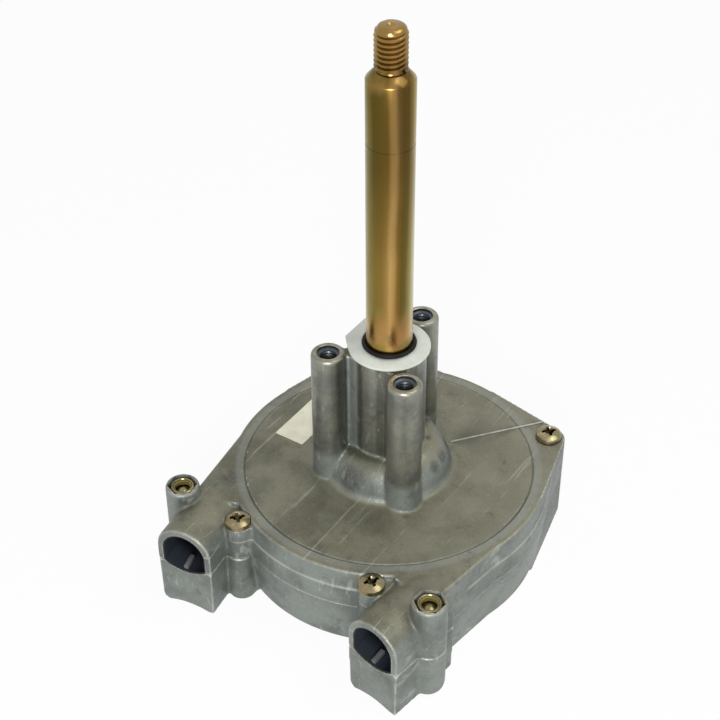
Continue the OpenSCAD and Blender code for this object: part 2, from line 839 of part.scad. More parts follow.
module steering_shaft() {
    color([0.76, 0.62, 0.30])
        difference() {
            union() {
                translate([0, 0, shaft_foot_z])
                    cylinder(r = shaft_r, h = shoulder_z - shaft_foot_z);
                translate([0, 0, shoulder_z])
                    cylinder(r1 = shaft_r, r2 = thread_d / 2, h = shoulder_h);
                translate([0, 0, stub_z])
                    cylinder(d = thread_d, h = thread_len - 2);
                translate([0, 0, tip_z - 2])
                    cylinder(d1 = thread_d, d2 = thread_d - 3.6, h = 2);
                translate([-journal_r, -journal_r, pinion_z - end_play])
                    cube([drive_square, drive_square, shaft_foot_z - pinion_z + end_play]);
                translate([0, 0, journal_z])
                    cylinder(r = journal_r, h = pinion_z - journal_z);
            }
            tube(shaft_r + through, shaft_r - 0.9, shaft_circlip_z, shaft_circlip_z + clip_t);
            tube(shaft_r + through, shaft_r - 0.3, shoulder_z - seat_len - seat_line_w,
                 shoulder_z - seat_len);
            translate([0, 0, tip_z - 1.6])
                cylinder(r1 = 0.2, r2 = 1.6, h = 1.6 + eps);
        }
}

module shaft_o_ring() {
    color([0.06, 0.06, 0.06])
        translate([0, 0, washer_z + o_ring_r + 2 * fit_gap])
            rotate_extrude()
                translate([shaft_r + o_ring_r, 0])
                    circle(r = o_ring_r);
}

module shaft_circlip() {
    color([0.30, 0.30, 0.32])
        translate([0, 0, shaft_circlip_z])
            open_ring(tower_bore_r - 0.4, shaft_r - 0.9, clip_t, 24);
}

module shaft_washer() {
    color([0.80, 0.72, 0.45])
        tube(tower_bore_r - 0.4, shaft_r + 0.2, shaft_washer_z, shaft_washer_z + thrust_t - end_play);
}

// Spur gear with a tooth centred on angle phase
module spur_gear(teeth, phase, z0, z1) {
    pitch = gear_module * teeth / 2;
    translate([0, 0, z0])
        linear_extrude(z1 - z0)
            polygon(gear_outline(teeth, pitch - 1.25 * gear_module, pitch + gear_module,
                                 backlash, phase));
}

module sun_pinion() {
    color([0.62, 0.62, 0.64])
        difference() {
            spur_gear(sun_teeth, 0, pinion_z, shaft_foot_z);
            translate([-journal_r, -journal_r, pinion_z - through])
                cube([drive_square, drive_square, gear_w + 3 * through]);
        }
}

module cable_wheel() {
    tooth_count = 60;
    color([0.66, 0.67, 0.64])
        difference() {
            rotate_extrude()
                difference() {
                    polygon([
                        [bearing_r, wheel_web_z],
                        [rim_inner_r, wheel_web_z],
                        [rim_inner_r, ring_top_z],
                        [ring_outer_r, ring_top_z],
                        [ring_outer_r, skirt_z],
                        [skirt_r, skirt_z],
                        [skirt_r, rim_z - 1.5],
                        [rim_r - 1.5, rim_z],
                        [rim_r, rim_z],
                        [rim_r, rim_top_z],
                        [rim_inner_r, rim_top_z],
                        [rim_inner_r, wheel_web_z + wheel_web_t],
                        [wheel_hub_r, wheel_web_z + wheel_web_t],
                        [wheel_hub_r, hub_top_z],
                        [bearing_r, hub_top_z]
                    ]);
                    translate([cable_path_r, cable_z])
                        circle(r = groove_r);
                }
            for (k = [0 : tooth_count - 1])
                rotate([0, 0, k * 360 / tooth_count])
                    translate([cable_path_r - groove_r + 0.6, 0, cable_z - groove_r * 0.6])
                        cylinder(r = 1.5, h = groove_r * 1.2);
            for (a = [0 : 60 : 300])
                rotate([0, 0, a + 30])
                    translate([(rim_inner_r + wheel_hub_r) / 2, 0, wheel_web_z - through])
                        cylinder(r = 7, h = wheel_web_t + 2 * through);
            dowel_cuts();
        }
}

// Half-round seats of the dowels that lock the ring gear in the cable wheel
module dowel_cuts() {
    for (a = [0 : 60 : 300])
        rotate([0, 0, a])
            translate([ring_outer_r, 0, ring_z - through])
                cylinder(r = dowel_r, h = ring_top_z - ring_z + through);
}

module ring_gear() {
    color([0.50, 0.51, 0.53])
        difference() {
            translate([0, 0, ring_z])
                cylinder(r = ring_outer_r, h = ring_top_z - ring_z);
            translate([0, 0, ring_z - through])
                linear_extrude(ring_top_z - ring_z + 2 * through)
                    polygon(gear_outline(ring_teeth, ring_r - 0.9 * gear_module, ring_root_r,
                                         -backlash, ring_phase(planet_angles[0])));
            dowel_cuts();
        }
}

module ring_dowels() {
    color([0.70, 0.70, 0.72])
        for (a = [0 : 60 : 300])
            rotate([0, 0, a])
                translate([ring_outer_r, 0, ring_z])
                    cylinder(r = dowel_r, h = ring_top_z - ring_z);
}

module wheel_bearing() {
    color([0.92, 0.92, 0.88])
        tube(bearing_r, tower_r + run_gap, wheel_web_z + 0.1, hub_top_z - 0.1);
}

module planet_gear(k) {
    a = planet_angles[k - 1];
    centre = polar(planet_path_r, a);
    color([0.55, 0.56, 0.58])
        translate([centre[0], centre[1], 0])
            difference() {
                spur_gear(planet_teeth, planet_phase(a), gear_z, gear_top_z);
                translate([0, 0, gear_z - through])
                    cylinder(r = pin_r + bush_t, h = gear_w + 2 * through);
            }
}

module planet_bush(k) {
    centre = polar(planet_path_r, planet_angles[k - 1]);
    color([0.72, 0.52, 0.28])
        translate([centre[0], centre[1], 0])
            tube(pin_r + bush_t, pin_r + run_gap, gear_z, gear_top_z);
}

front_cover();
rear_housing();
cover_screws();
clamp_bolts();
clamp_nuts();
nut_rings();
upper_bush();
lower_bush();
floor_bush();
tower_washer();
planet_pins();
planet_washers();
pin_plate();
pin_clips();
pinion_washer();
wheel_circlip();
wheel_washer();
cable_guide(-1);  // cable_guide_left
cable_guide(1);  // cable_guide_right
blank_label();
steering_shaft();
shaft_o_ring();
shaft_circlip();
shaft_washer();
sun_pinion();
cable_wheel();
ring_gear();
ring_dowels();
wheel_bearing();
planet_gear(1);  // planet_gear_1
planet_gear(2);  // planet_gear_2
planet_gear(3);  // planet_gear_3
planet_bush(1);  // planet_bush_1
planet_bush(2);  // planet_bush_2
planet_bush(3);  // planet_bush_3
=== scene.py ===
"""Dresses the boat steering helm: two sand-toned castings, plated steel, nylon and rubber.

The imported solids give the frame. Every shape below is built in millimetres in that frame, with
+Z along the wheel shaft and the two cable outlets towards -Y, and is scaled to metres last.
"""

from __future__ import annotations

import json
import logging
import math
from dataclasses import dataclass
from enum import Enum

import bmesh
import bpy
from mathutils import Matrix, Vector


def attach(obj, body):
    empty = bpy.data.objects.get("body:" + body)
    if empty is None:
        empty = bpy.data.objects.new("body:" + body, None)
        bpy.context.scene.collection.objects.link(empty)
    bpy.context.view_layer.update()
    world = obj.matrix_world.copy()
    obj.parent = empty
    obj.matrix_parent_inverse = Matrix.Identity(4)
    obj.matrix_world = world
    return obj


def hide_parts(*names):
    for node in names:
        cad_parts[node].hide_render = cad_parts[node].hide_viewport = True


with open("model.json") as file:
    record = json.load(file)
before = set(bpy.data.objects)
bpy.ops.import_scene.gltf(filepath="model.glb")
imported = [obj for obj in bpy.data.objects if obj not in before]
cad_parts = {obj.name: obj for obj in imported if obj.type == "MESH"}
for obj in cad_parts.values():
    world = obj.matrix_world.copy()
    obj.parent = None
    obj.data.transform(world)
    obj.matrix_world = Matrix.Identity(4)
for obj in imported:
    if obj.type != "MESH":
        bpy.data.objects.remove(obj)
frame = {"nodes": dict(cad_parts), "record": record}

LOG = logging.getLogger("helm")
MM = 0.001
Point2 = tuple[float, float]
Colour = tuple[float, float, float]


class Side(Enum):
    """The two cable outlets, by the sign of their X."""

    LEFT = -1
    RIGHT = 1


def tone(red: int, green: int, blue: int) -> Colour:
    """Linear colour of an 8-bit display colour.

    Args:
        red: Red from 0 to 255.
        green: Green from 0 to 255.
        blue: Blue from 0 to 255.

    Returns:
        The linear colour.
    """

    def linear(value: int) -> float:
        """One channel, from display to linear."""
        share = value / 255
        return share / 12.92 if share <= 0.04045 else ((share + 0.055) / 1.055) ** 2.4

    return linear(red), linear(green), linear(blue)


def polar(radius: float, degrees: float) -> Point2:
    """Point at a radius and an angle from +X."""
    return radius * math.cos(math.radians(degrees)), radius * math.sin(math.radians(degrees))


def arc(centre: Point2, radius: float, start: float, end: float, steps: int) -> list[Point2]:
    """Points on an arc, both ends included.

    Args:
        centre: Centre of the arc.
        radius: Radius of the arc.
        start: First angle in degrees.
        end: Last angle in degrees.
        steps: Number of segments.

    Returns:
        The points, from the first angle to the last.
    """
    points = []
    for index in range(steps + 1):
        x, y = polar(radius, start + (end - start) * index / steps)
        points.append((centre[0] + x, centre[1] + y))
    return points


# Solids and the pieces that are built from them


class Shape:
    """A closed solid in millimetres, shaped with bmesh operators."""

    def __init__(self) -> None:
        """Starts with no geometry."""
        self.bm = bmesh.new()

    @classmethod
    def turned(cls, profile: list[Point2], steps: int = 96, closed: bool = False) -> "Shape":
        """Solid of revolution about Z.

        Args:
            profile: Points (radius, z). An open profile starts and ends on the axis.
            steps: Number of segments round the axis.
            closed: True for a ring section that doesn't reach the axis.

        Returns:
            The solid.
        """
        shape = cls()
        verts = [shape.bm.verts.new((radius, 0, z)) for radius, z in profile]
        edges = [shape.bm.edges.new(pair) for pair in zip(verts, verts[1:])]
        if closed:
            edges.append(shape.bm.edges.new((verts[-1], verts[0])))
        bmesh.ops.spin(
            shape.bm, geom=verts + edges, cent=(0, 0, 0), axis=(0, 0, 1), dvec=(0, 0, 0),
            angle=math.tau, steps=steps, use_merge=True, use_duplicate=False,
        )
        return shape.tidy()

    @classmethod
    def prism(cls, outline: list[Point2], low: float, high: float) -> "Shape":
        """Straight prism of a plan outline between two heights.

        Args:
            outline: Corners in plan, in order.
            low: Lower height.
            high: Upper height.

        Returns:
            The solid.
        """
        shape = cls()
        verts = [shape.bm.verts.new((x, y, low)) for x, y in outline]
        face = shape.bm.faces.new(verts)
        made = bmesh.ops.extrude_face_region(shape.bm, geom=[face])
        moved = [item for item in made["geom"] if isinstance(item, bmesh.types.BMVert)]
        bmesh.ops.translate(shape.bm, verts=moved, vec=(0, 0, high - low))
        return shape.tidy()

    @classmethod
    def along(cls, section: list[Point2], near: float, far: float) -> "Shape":
        """Prism of a section in X and Z, from Y near to Y far."""
        shape = cls.prism(section, -far, -near)
        return shape.move(Matrix.Rotation(math.pi / 2, 4, "X"))

    @classmethod
    def rod(cls, radius: float, start: Vector, end: Vector, tip: float | None = None,
            steps: int = 48) -> "Shape":
        """Round bar or cone between two points.

        Args:
            radius: Radius at the start.
            start: Centre of the first end.
            end: Centre of the second end.
            tip: Radius at the second end; the same as the first if left out.
            steps: Number of segments round the bar.

        Returns:
            The solid.
        """
        shape = cls()
        reach = Vector(end) - Vector(start)
        bmesh.ops.create_cone(
            shape.bm, cap_ends=True, cap_tris=False, segments=steps, radius1=radius,
            radius2=radius if tip is None else tip, depth=reach.length,
        )
        turn = Vector((0, 0, 1)).rotation_difference(reach).to_matrix().to_4x4()
        return shape.move(Matrix.Translation((Vector(start) + Vector(end)) / 2) @ turn)

    @classmethod
    def block(cls, low: Vector, high: Vector) -> "Shape":
        """Box between two corners.

        Args:
            low: Corner with the least values.
            high: Corner with the greatest values.

        Returns:
            The solid.
        """
        shape = cls()
        bmesh.ops.create_cube(shape.bm, size=1.0)
        low, high = Vector(low), Vector(high)
        size = high - low
        return shape.move(Matrix.Translation((low + high) / 2) @ Matrix.Diagonal((*size, 1)))

    def move(self, matrix: Matrix) -> "Shape":
        """Applies a matrix, keeping the faces outwards."""
        bmesh.ops.transform(self.bm, matrix=matrix, verts=self.bm.verts[:])
        return self.tidy()

    def at(self, x: float, y: float, z: float = 0.0, turn: float = 0.0) -> "Shape":
        """Turns the solid about Z by degrees, then moves it."""
        spot = Matrix.Translation((x, y, z)) @ Matrix.Rotation(math.radians(turn), 4, "Z")
        return self.move(spot)

    def rounded(self, offset: float, segments: int = 3, angle: float = 30.0) -> "Shape":
        """Bevels the edges that are sharper than an angle in degrees.

        Args:
            offset: Width of the bevel.
            segments: Steps across it.
            angle: Angle past which an edge is bevelled.

        Returns:
            This solid.
        """
        sharp = [
            edge for edge in self.bm.edges
            if len(edge.link_faces) == 2 and edge.calc_face_angle() > math.radians(angle)
        ]
        bmesh.ops.bevel(
            self.bm, geom=sharp, offset=offset, offset_type="OFFSET", segments=segments,
            profile=0.5, affect="EDGES", material=-1, clamp_overlap=True,
        )
        return self.tidy()

    def plus(self, *others: "Shape") -> "Shape":
        """Adds the faces of other solids, which may overlap this one.

        Args:
            others: The solids, which are used up.

        Returns:
            This solid.
        """
        for other in others:
            spare = bpy.data.meshes.new("spare")
            other.bm.to_mesh(spare)
            self.bm.from_mesh(spare)
            bpy.data.meshes.remove(spare)
            other.bm.free()
        return self

    def tidy(self) -> "Shape":
        """Merges doubles and turns the faces outwards.

        Returns:
            This solid.
        """
        bmesh.ops.remove_doubles(self.bm, verts=self.bm.verts[:], dist=1e-4)
        bmesh.ops.recalc_face_normals(self.bm, faces=self.bm.faces[:])
        return self

    def scratch(self) -> bpy.types.Object:
        """Unlinked-to-render object in millimetres, for the modifiers of a Build.

        Returns:
            The object.
        """
        mesh = bpy.data.meshes.new("scratch")
        self.bm.to_mesh(mesh)
        self.bm.free()
        item = bpy.data.objects.new("scratch", mesh)
        bpy.context.scene.collection.objects.link(item)
        return item


class Build:
    """A piece that is worked with modifiers in millimetres and finished in metres."""

    def __init__(self, name: str, shape: Shape) -> None:
        """Takes the first solid of the piece.

        Args:
            name: Name of the piece.
            shape: The solid, which is used up.
        """
        self.name = name
        self.item = shape.scratch()
        self.helpers: list[bpy.types.Object] = []

    def _boolean(self, shape: Shape, operation: str) -> "Build":
        """Adds one boolean step against another solid.

        Args:
            shape: The other solid, which is used up.
            operation: Kind of boolean.

        Returns:
            This piece.
        """
        helper = shape.scratch()
        self.helpers.append(helper)
        step = self.item.modifiers.new("step", "BOOLEAN")
        step.operation = operation
        step.solver = "MANIFOLD"
        step.object = helper
        return self

    def cut(self, *shapes: Shape) -> "Build":
        """Takes solids away, one after the other.

        Args:
            shapes: The solids, which are used up.

        Returns:
            This piece.
        """
        for shape in shapes:
            self._boolean(shape, "DIFFERENCE")
        return self

    def join(self, *shapes: Shape) -> "Build":
        """Adds solids, one after the other.

        Args:
            shapes: The solids, which are used up.

        Returns:
            This piece.
        """
        for shape in shapes:
            self._boolean(shape, "UNION")
        return self

    def cast(self, grain: float, passes: int, keep: float) -> "Build":
        """Fuses the solids into one skin with soft edges and small fillets, as in a mould.

        Args:
            grain: Size of the voxels in millimetres.
            passes: Number of smoothing passes.
            keep: Share of the triangles that is kept.

        Returns:
            This piece.
        """
        fuse = self.item.modifiers.new("fuse", "REMESH")
        fuse.mode = "VOXEL"
        fuse.voxel_size = grain
        fuse.adaptivity = 0.0
        soften = self.item.modifiers.new("soften", "SMOOTH")
        soften.factor = 0.5
        soften.iterations = passes
        thin = self.item.modifiers.new("thin", "DECIMATE")
        thin.decimate_type = "COLLAPSE"
        thin.ratio = keep
        return self

    def finish(self, crease: float = 35.0) -> bpy.types.Object:
        """Applies the steps and gives the finished object, in metres, at the origin.

        Args:
            crease: Angle in degrees past which an edge stays sharp.

        Returns:
            The finished object.
        """
        graph = bpy.context.evaluated_depsgraph_get()
        mesh = bpy.data.meshes.new_from_object(self.item.evaluated_get(graph))
        for spare in [self.item, *self.helpers]:
            bpy.data.objects.remove(spare)
        mesh.name = self.name
        mesh.transform(Matrix.Scale(MM, 4))
        mesh.shade_smooth()
        mesh.set_sharp_from_angle(angle=math.radians(crease))
        done = bpy.data.objects.new(self.name, mesh)
        bpy.context.scene.collection.objects.link(done)
        LOG.info("%s: %d faces", self.name, len(mesh.polygons))
        return done


# Finishes


class Wire:
    """A number in a shader. Its operators add Math nodes."""

    def __init__(self, nodes: "Nodes", socket: bpy.types.NodeSocket) -> None:
        """Wraps an output socket."""
        self.nodes = nodes
        self.socket = socket

    def _math(self, operation: str, first: "Wire | float", second: "Wire | float") -> "Wire":
        """One Math node on two values."""
        return self.nodes.node("ShaderNodeMath", {"operation": operation}, {0: first, 1: second})

    def __add__(self, other: "Wire | float") -> "Wire":
        """Sum."""
        return self._math("ADD", self, other)

    def __radd__(self, other: float) -> "Wire":
        """Sum, reflected."""
        return self._math("ADD", other, self)

    def __sub__(self, other: "Wire | float") -> "Wire":
        """Difference."""
        return self._math("SUBTRACT", self, other)

    def __rsub__(self, other: float) -> "Wire":
        """Difference, reflected."""
        return self._math("SUBTRACT", other, self)

    def __mul__(self, other: "Wire | float") -> "Wire":
        """Product."""
        return self._math("MULTIPLY", self, other)

    def __rmul__(self, other: float) -> "Wire":
        """Product, reflected."""
        return self._math("MULTIPLY", other, self)

    def least(self, other: "Wire | float") -> "Wire":
        """The smaller of two values."""
        return self._math("MINIMUM", self, other)

    def most(self, other: "Wire | float") -> "Wire":
        """The larger of two values."""
        return self._math("MAXIMUM", self, other)

    def span(self, low: float, high: float, start: float = 0.0, end: float = 1.0) -> "Wire":
        """Smooth step from start to end between two values."""
        return self.nodes.node(
            "ShaderNodeMapRange", {"interpolation_type": "SMOOTHSTEP", "clamp": True},
            {"Value": self, "From Min": low, "From Max": high, "To Min": start, "To Max": end},
        )


class Nodes:
    """A node tree while it is built."""

    def __init__(self, tree: bpy.types.NodeTree, ending: str) -> None:
        """Empties the tree and adds its output.

        Args:
            tree: The tree that is filled.
            ending: Type of the output node.
        """
        self.tree = tree
        self.tree.nodes.clear()
        self.output = self.tree.nodes.new(ending)

    def node(self, kind: str, settings: dict | None = None, inputs: dict | None = None,
             out: str | int = 0) -> Wire:
        """Adds any node.

        Args:
            kind: The node's type.
            settings: Its own settings; "stops" gives a colour ramp's positions and colours.
            inputs: Values or links, by socket name or index.
            out: The output socket that is returned.

        Returns:
            The chosen output.
        """
        made = self.tree.nodes.new(kind)
        for key, value in (settings or {}).items():
            if key == "stops":
                self._fill_ramp(made.color_ramp, value)
            else:
                setattr(made, key, value)
        for key, value in (inputs or {}).items():
            self.feed(made.inputs[key], value)
        return Wire(self, made.outputs[out])

    @staticmethod
    def _fill_ramp(ramp: bpy.types.ColorRamp, stops: list[tuple[float, Colour]]) -> None:
        """Writes a ramp's stops.

        Args:
            ramp: The ramp.
            stops: Positions and colours.
        """
        while len(ramp.elements) < len(stops):
            ramp.elements.new(0.5)
        for element, (spot, colour) in zip(ramp.elements, stops):
            element.position = spot
            element.color = (*colour, 1)

    def feed(self, socket: bpy.types.NodeSocket, value: "Wire | float | tuple") -> None:
        """Links or sets one input.

        Args:
            socket: The input.
            value: A link, a number, a vector, or a colour without its alpha.
        """
        if isinstance(value, Wire):
            self.tree.links.new(value.socket, socket)
        elif isinstance(value, tuple) and len(socket.default_value) > len(value):
            socket.default_value = (*value, 1)
        else:
            socket.default_value = value

    def show(self, surface: Wire) -> None:
        """Links a shader to the output."""
        self.feed(self.output.inputs["Surface"], surface)


class Paint(Nodes):
    """A procedural material while it is built."""

    def __init__(self, name: str) -> None:
        """Starts a material with its main shader.

        Args:
            name: Name of the material.
        """
        self.material = bpy.data.materials.new(name)
        self.material.use_nodes = True
        super().__init__(self.material.node_tree, "ShaderNodeOutputMaterial")
        self.shader = self.tree.nodes.new("ShaderNodeBsdfPrincipled")
        self.show(Wire(self, self.shader.outputs[0]))
        self.place = self.node("ShaderNodeTexCoord", out="Object")

    def noise(self, scale: float, detail: float = 3.0, roughness: float = 0.5,
              stretch: tuple[float, float, float] = (1, 1, 1), shift: float = 0.0) -> Wire:
        """Noise from 0 to 1 on the object's own coordinates.

        Args:
            scale: Cells per metre.
            detail: Number of octaves.
            roughness: Weight of the finer octaves.
            stretch: Scale of the pattern along each axis.
            shift: Offset of the pattern in metres.

        Returns:
            The noise value.
        """
        spot = self.node(
            "ShaderNodeMapping", None,
            {"Vector": self.place, "Scale": stretch, "Location": (shift, shift, shift)},
        )
        return self.node(
            "ShaderNodeTexNoise", None,
            {"Vector": spot, "Scale": scale, "Detail": detail, "Roughness": roughness},
        )

    def blend(self, mask: Wire | float, first: Wire | Colour, second: Wire | Colour) -> Wire:
        """Colour that goes from the first to the second with a mask."""
        return self.node(
            "ShaderNodeMix", {"data_type": "RGBA", "clamp_factor": True},
            {0: mask, 6: first, 7: second}, out=2,
        )

    def ramp(self, value: Wire, stops: list[tuple[float, Colour]]) -> Wire:
        """Colour ramp over a value."""
        return self.node("ShaderNodeValToRGB", {"stops": stops}, {0: value})

    def part(self, axis: str, source: Wire | None = None) -> Wire:
        """One component of a vector, by default of the object's coordinates."""
        return self.node("ShaderNodeSeparateXYZ", None, {0: source or self.place}, out=axis)

    def vector(self, operation: str, first: Wire | tuple, second: Wire | tuple = (0.0, 0.0, 0.0),
               out: str = "Vector") -> Wire:
        """One Vector Math node; its out is "Value" for a distance or a dot product."""
        return self.node("ShaderNodeVectorMath", {"operation": operation}, {0: first, 1: second}, out)

    def near(self, spots: list[Point2]) -> Wire:
        """Distance from the nearest of some upright axes.

        Args:
            spots: Plan positions of the axes in millimetres.

        Returns:
            The distance in millimetres.
        """
        flat = self.vector("MULTIPLY", self.place, (1000.0, 1000.0, 0.0))
        reach = [self.vector("DISTANCE", flat, (*spot, 0.0), "Value") for spot in spots]
        nearest = reach[0]
        for other in reach[1:]:
            nearest = nearest.least(other)
        return nearest

    def across(self, heading: float) -> Wire:
        """Position in millimetres along a plan direction in degrees from +X."""
        return self.vector("DOT_PRODUCT", self.place, (*polar(1000.0, heading), 0.0), "Value")

    def height(self) -> Wire:
        """Height above the rear face in millimetres."""
        return self.part("Z") * 1000.0

    def bump(self, height: Wire, strength: float, distance: float) -> None:
        """Puts a relief on the shader's normal; distance is in metres.

        Args:
            height: The relief.
            strength: Share of the relief that shows.
            distance: Height of the relief in metres.
        """
        relief = self.node(
            "ShaderNodeBump", None,
            {"Strength": strength, "Distance": distance, "Height": height},
        )
        self.feed(self.shader.inputs["Normal"], relief)

    def done(self, **sockets: Wire | float | tuple) -> bpy.types.Material:
        """Feeds the shader's sockets, named with underscores for blanks.

        Args:
            sockets: Values or links by socket name.

        Returns:
            The material.
        """
        for name, value in sockets.items():
            self.feed(self.shader.inputs[name.replace("_", " ")], value)
        return self.material


@dataclass(frozen=True)
class CastFinish:
    """Blasted cast aluminium: brown-grey where dust lies, cooler on the walls, bright edges, with
    painted light and shade.
    """

    holes: tuple[Point2, ...]
    hole_top: float
    name: str = "cast_aluminium"
    top: Colour = tone(122, 120, 102)
    top_dark: Colour = tone(96, 94, 78)
    moss: Colour = tone(104, 110, 92)
    wall: Colour = tone(125, 131, 125)
    wall_dark: Colour = tone(98, 103, 98)
    boss: Colour = tone(142, 142, 130)
    boss_dark: Colour = tone(108, 111, 106)
    # This pale colour is painted light on the webs on the -X side; it also lightens the collar round
    # the plate.
    web: Colour = tone(152, 160, 158)
    pale: Colour = tone(136, 134, 114)
    # This dark colour is real stain and also painted shade round the tower, in the hollows and on the
    # hub dome.
    stain_and_shade: Colour = tone(58, 58, 50)
    # This light colour is real wear and also the painted highlight along the ledge of the cover.
    worn: Colour = tone(206, 207, 196)
    bore: Colour = tone(80, 86, 91)
    rim: Colour = tone(172, 166, 150)
    heading: float = 32.5
    gloom_at: Point2 = (0.0, -12.0)
    # The first entry and the last three sit on the hub dome and are painted shade; the others are
    # dark smudges.
    smudges_and_shade: tuple[tuple[float, float, float, float], ...] = (
        (-3.0, -25.5, 49.5, 9.0), (-50.8, -45.9, 43.0, 7.0), (-56.4, -70.2, 43.8, 6.8),
        (15.3, 7.6, 57.8, 2.2), (19.5, 15.7, 50.9, 4.2), (23.4, 5.8, 52.6, 4.2),
        (24.3, -1.4, 52.2, 4.2),
    )

    def make(self) -> bpy.types.Material:
        """Builds the material."""
        return CastCoat(self).material()


class CastCoat:
    """The finish of the castings while it is painted, layer over layer."""

    def __init__(self, look: CastFinish) -> None:
        """Measures where a point lies and how it faces.

        Args:
            look: Colours and places of the finish.
        """
        self.look = look
        self.paint = Paint(look.name)
        self.normal = self.paint.node("ShaderNodeNewGeometry", out="Normal")
        self.height = self.paint.height()
        self.centre = self.paint.near([(0.0, 0.0)])
        self.axis = self.paint.near(list(look.holes))
        self.upward = self.paint.part("Z", self.normal).span(0.35, 0.95)
        self.tower = self.centre.span(35.0, 33.5) * self.height.span(52.0, 60.0)
        self.tower_side = self.tower * (1.0 - self.upward)
        point = self.paint.node("ShaderNodeNewGeometry", out="Pointiness")
        chipped = self.paint.noise(160, 3, 0.6, shift=0.7).span(0.3, 0.6, 0.35, 1)
        self.crest = point.span(0.515, 0.56) * chipped
        self.hollow = point.span(0.49, 0.44)
        self.colour = self.ground()

    def ground(self) -> Wire:
        """Colour of the bare metal, browner where it faces up, with painted light that pales the tops
        along the heading.

        Returns:
            The colour.
        """
        paint, look = self.paint, self.look
        cloud = paint.noise(48, 5, 0.62)
        walls = paint.blend(cloud.span(0.34, 0.62), look.wall_dark, look.wall)
        stone = paint.blend(cloud.span(0.3, 0.65), look.boss_dark, look.boss)
        walls = paint.blend(self.tower, walls, stone)
        tops = paint.blend(cloud.span(0.36, 0.6), look.top_dark, look.top)
        green = paint.noise(75, 3, 0.5, shift=0.13).span(0.5, 0.7)
        tops = paint.blend(green * 0.5, tops, look.moss)
        # Painted light: the tops grow paler along the heading, towards the side the light falls on.
        tops = paint.blend(paint.across(look.heading).span(-25, 70) * 0.5, tops, look.pale)
        return paint.blend(self.upward, walls, tops)

    def over(self, mask: Wire, tint: Colour) -> None:
        """Lays a tint over the colour."""
        self.colour = self.paint.blend(mask, self.colour, tint)

    def gloom(self) -> None:
        """Paints shade on the sides that face the gap between the bosses."""
        paint = self.paint
        middle = tuple(value * MM for value in (*self.look.gloom_at, 0.0))
        inward = paint.vector("SUBTRACT", middle, paint.place)
        inward = paint.vector("MULTIPLY", inward, (1.0, 1.0, 0.0))
        inward = paint.vector("NORMALIZE", inward)
        facing = paint.vector("DOT_PRODUCT", inward, self.normal, "Value")
        self.over(facing.span(0.0, 0.6) * self.tower_side * 0.52, self.look.stain_and_shade)

    def webs(self) -> None:
        """Paints light on the webs on the -X side, and paints shade on the other ones and on the
        tower beside them.
        """
        web = self.centre.span(15.5, 16.2) * self.axis.span(7.3, 7.9) * self.tower_side
        west = self.paint.across(0.0).span(3.0, -3.0)
        self.over(web * west * 0.75, self.look.web)
        self.over(web * (1.0 - west) * 0.6, self.look.stain_and_shade)
        beside = self.centre.span(16.0, 15.6) * self.axis.span(16.2, 14.4) * self.tower_side
        self.over(beside * 0.5, self.look.stain_and_shade)

    def smudges_and_shade(self) -> None:
        """Adds dark smudges at their places; the ones on the hub dome are painted shade."""
        cloudy = self.paint.noise(260, 3, 0.6, shift=0.4).span(0.25, 0.6, 0.5, 1.0)
        for x, y, z, radius in self.look.smudges_and_shade:
            spot = (x * MM, y * MM, z * MM)
            away = self.paint.vector("DISTANCE", self.paint.place, spot, "Value") * 1000.0
            self.over(away.span(radius, radius * 0.25) * cloudy * 0.72, self.look.stain_and_shade)

    def rims(self) -> None:
        """Paints a highlight along the ledge round the cover and lightens the collar round its plate.
        """
        ledge = self.height.span(33.0, 33.4) * self.height.span(34.2, 33.8) * (1.0 - self.upward)
        ledge = ledge * self.paint.near([(-61.0, -66.0), (61.0, -66.0)]).span(25.0, 28.0)
        uneven = self.paint.noise(90, 3, 0.6).span(0.3, 0.6, 0.4, 1.0)
        self.over(ledge * self.centre.span(66.0, 68.0) * uneven * 0.36, self.look.worn)
        collar = self.centre.span(62.9, 63.4) * self.centre.span(67.5, 65.5) * self.upward
        self.over(collar * 0.28, self.look.web)

    def marks(self) -> None:
        """Adds blotches, pale specks and long scratches."""
        paint = self.paint
        blotch = paint.noise(120, 5, 0.65, shift=0.31).span(0.58, 0.72)
        self.over(blotch * 0.42, self.look.stain_and_shade)
        self.over(paint.noise(1500, 2, 0.5).span(0.62, 0.75) * 0.25, self.look.worn)
        scratch = paint.noise(420, 3, 0.6, stretch=(1.0, 0.05, 0.3), shift=0.9).span(0.62, 0.7)
        self.over(scratch * 0.22, self.look.worn)

    def edges(self) -> None:
        """Paints shade in the hollows and brightens the worn edges."""
        self.over(self.hollow * 0.6, self.look.stain_and_shade)
        self.over(self.crest * 0.65, self.look.worn)

    def mouths(self) -> None:
        """Tints the rims and the inside of the tapped holes."""
        top = self.look.hole_top
        uneven = self.paint.noise(300, 3, 0.6).span(0.35, 0.6, 0.1, 0.55)
        rim = self.height.span(top - 1.1, top - 0.5) * self.axis.span(6.6, 5.9)
        self.over(rim * uneven, self.look.rim)
        inside = self.axis.span(4.95, 4.75) * self.height.span(top - 0.35, top - 0.6)
        self.over(inside * self.height.span(top - 29, top - 28), self.look.bore)

    def material(self) -> bpy.types.Material:
        """Adds the layers in order.

        Returns:
            The material.
        """
        for layer in (self.gloom, self.webs, self.smudges_and_shade, self.rims, self.marks, self.edges,
                      self.mouths):
            layer()
        fine = self.paint.noise(900, 4, 0.6)
        self.paint.bump(fine * 0.6 + self.paint.noise(260, 3, 0.5), 0.35, 0.00035)
        return self.paint.done(
            Base_Color=self.colour, Metallic=self.tower.span(0.0, 1.0, 0.36, 0.8),
            Roughness=fine.span(0.3, 0.7, 0.42, 0.58) - self.crest * 0.12 - self.tower * 0.13,
        )


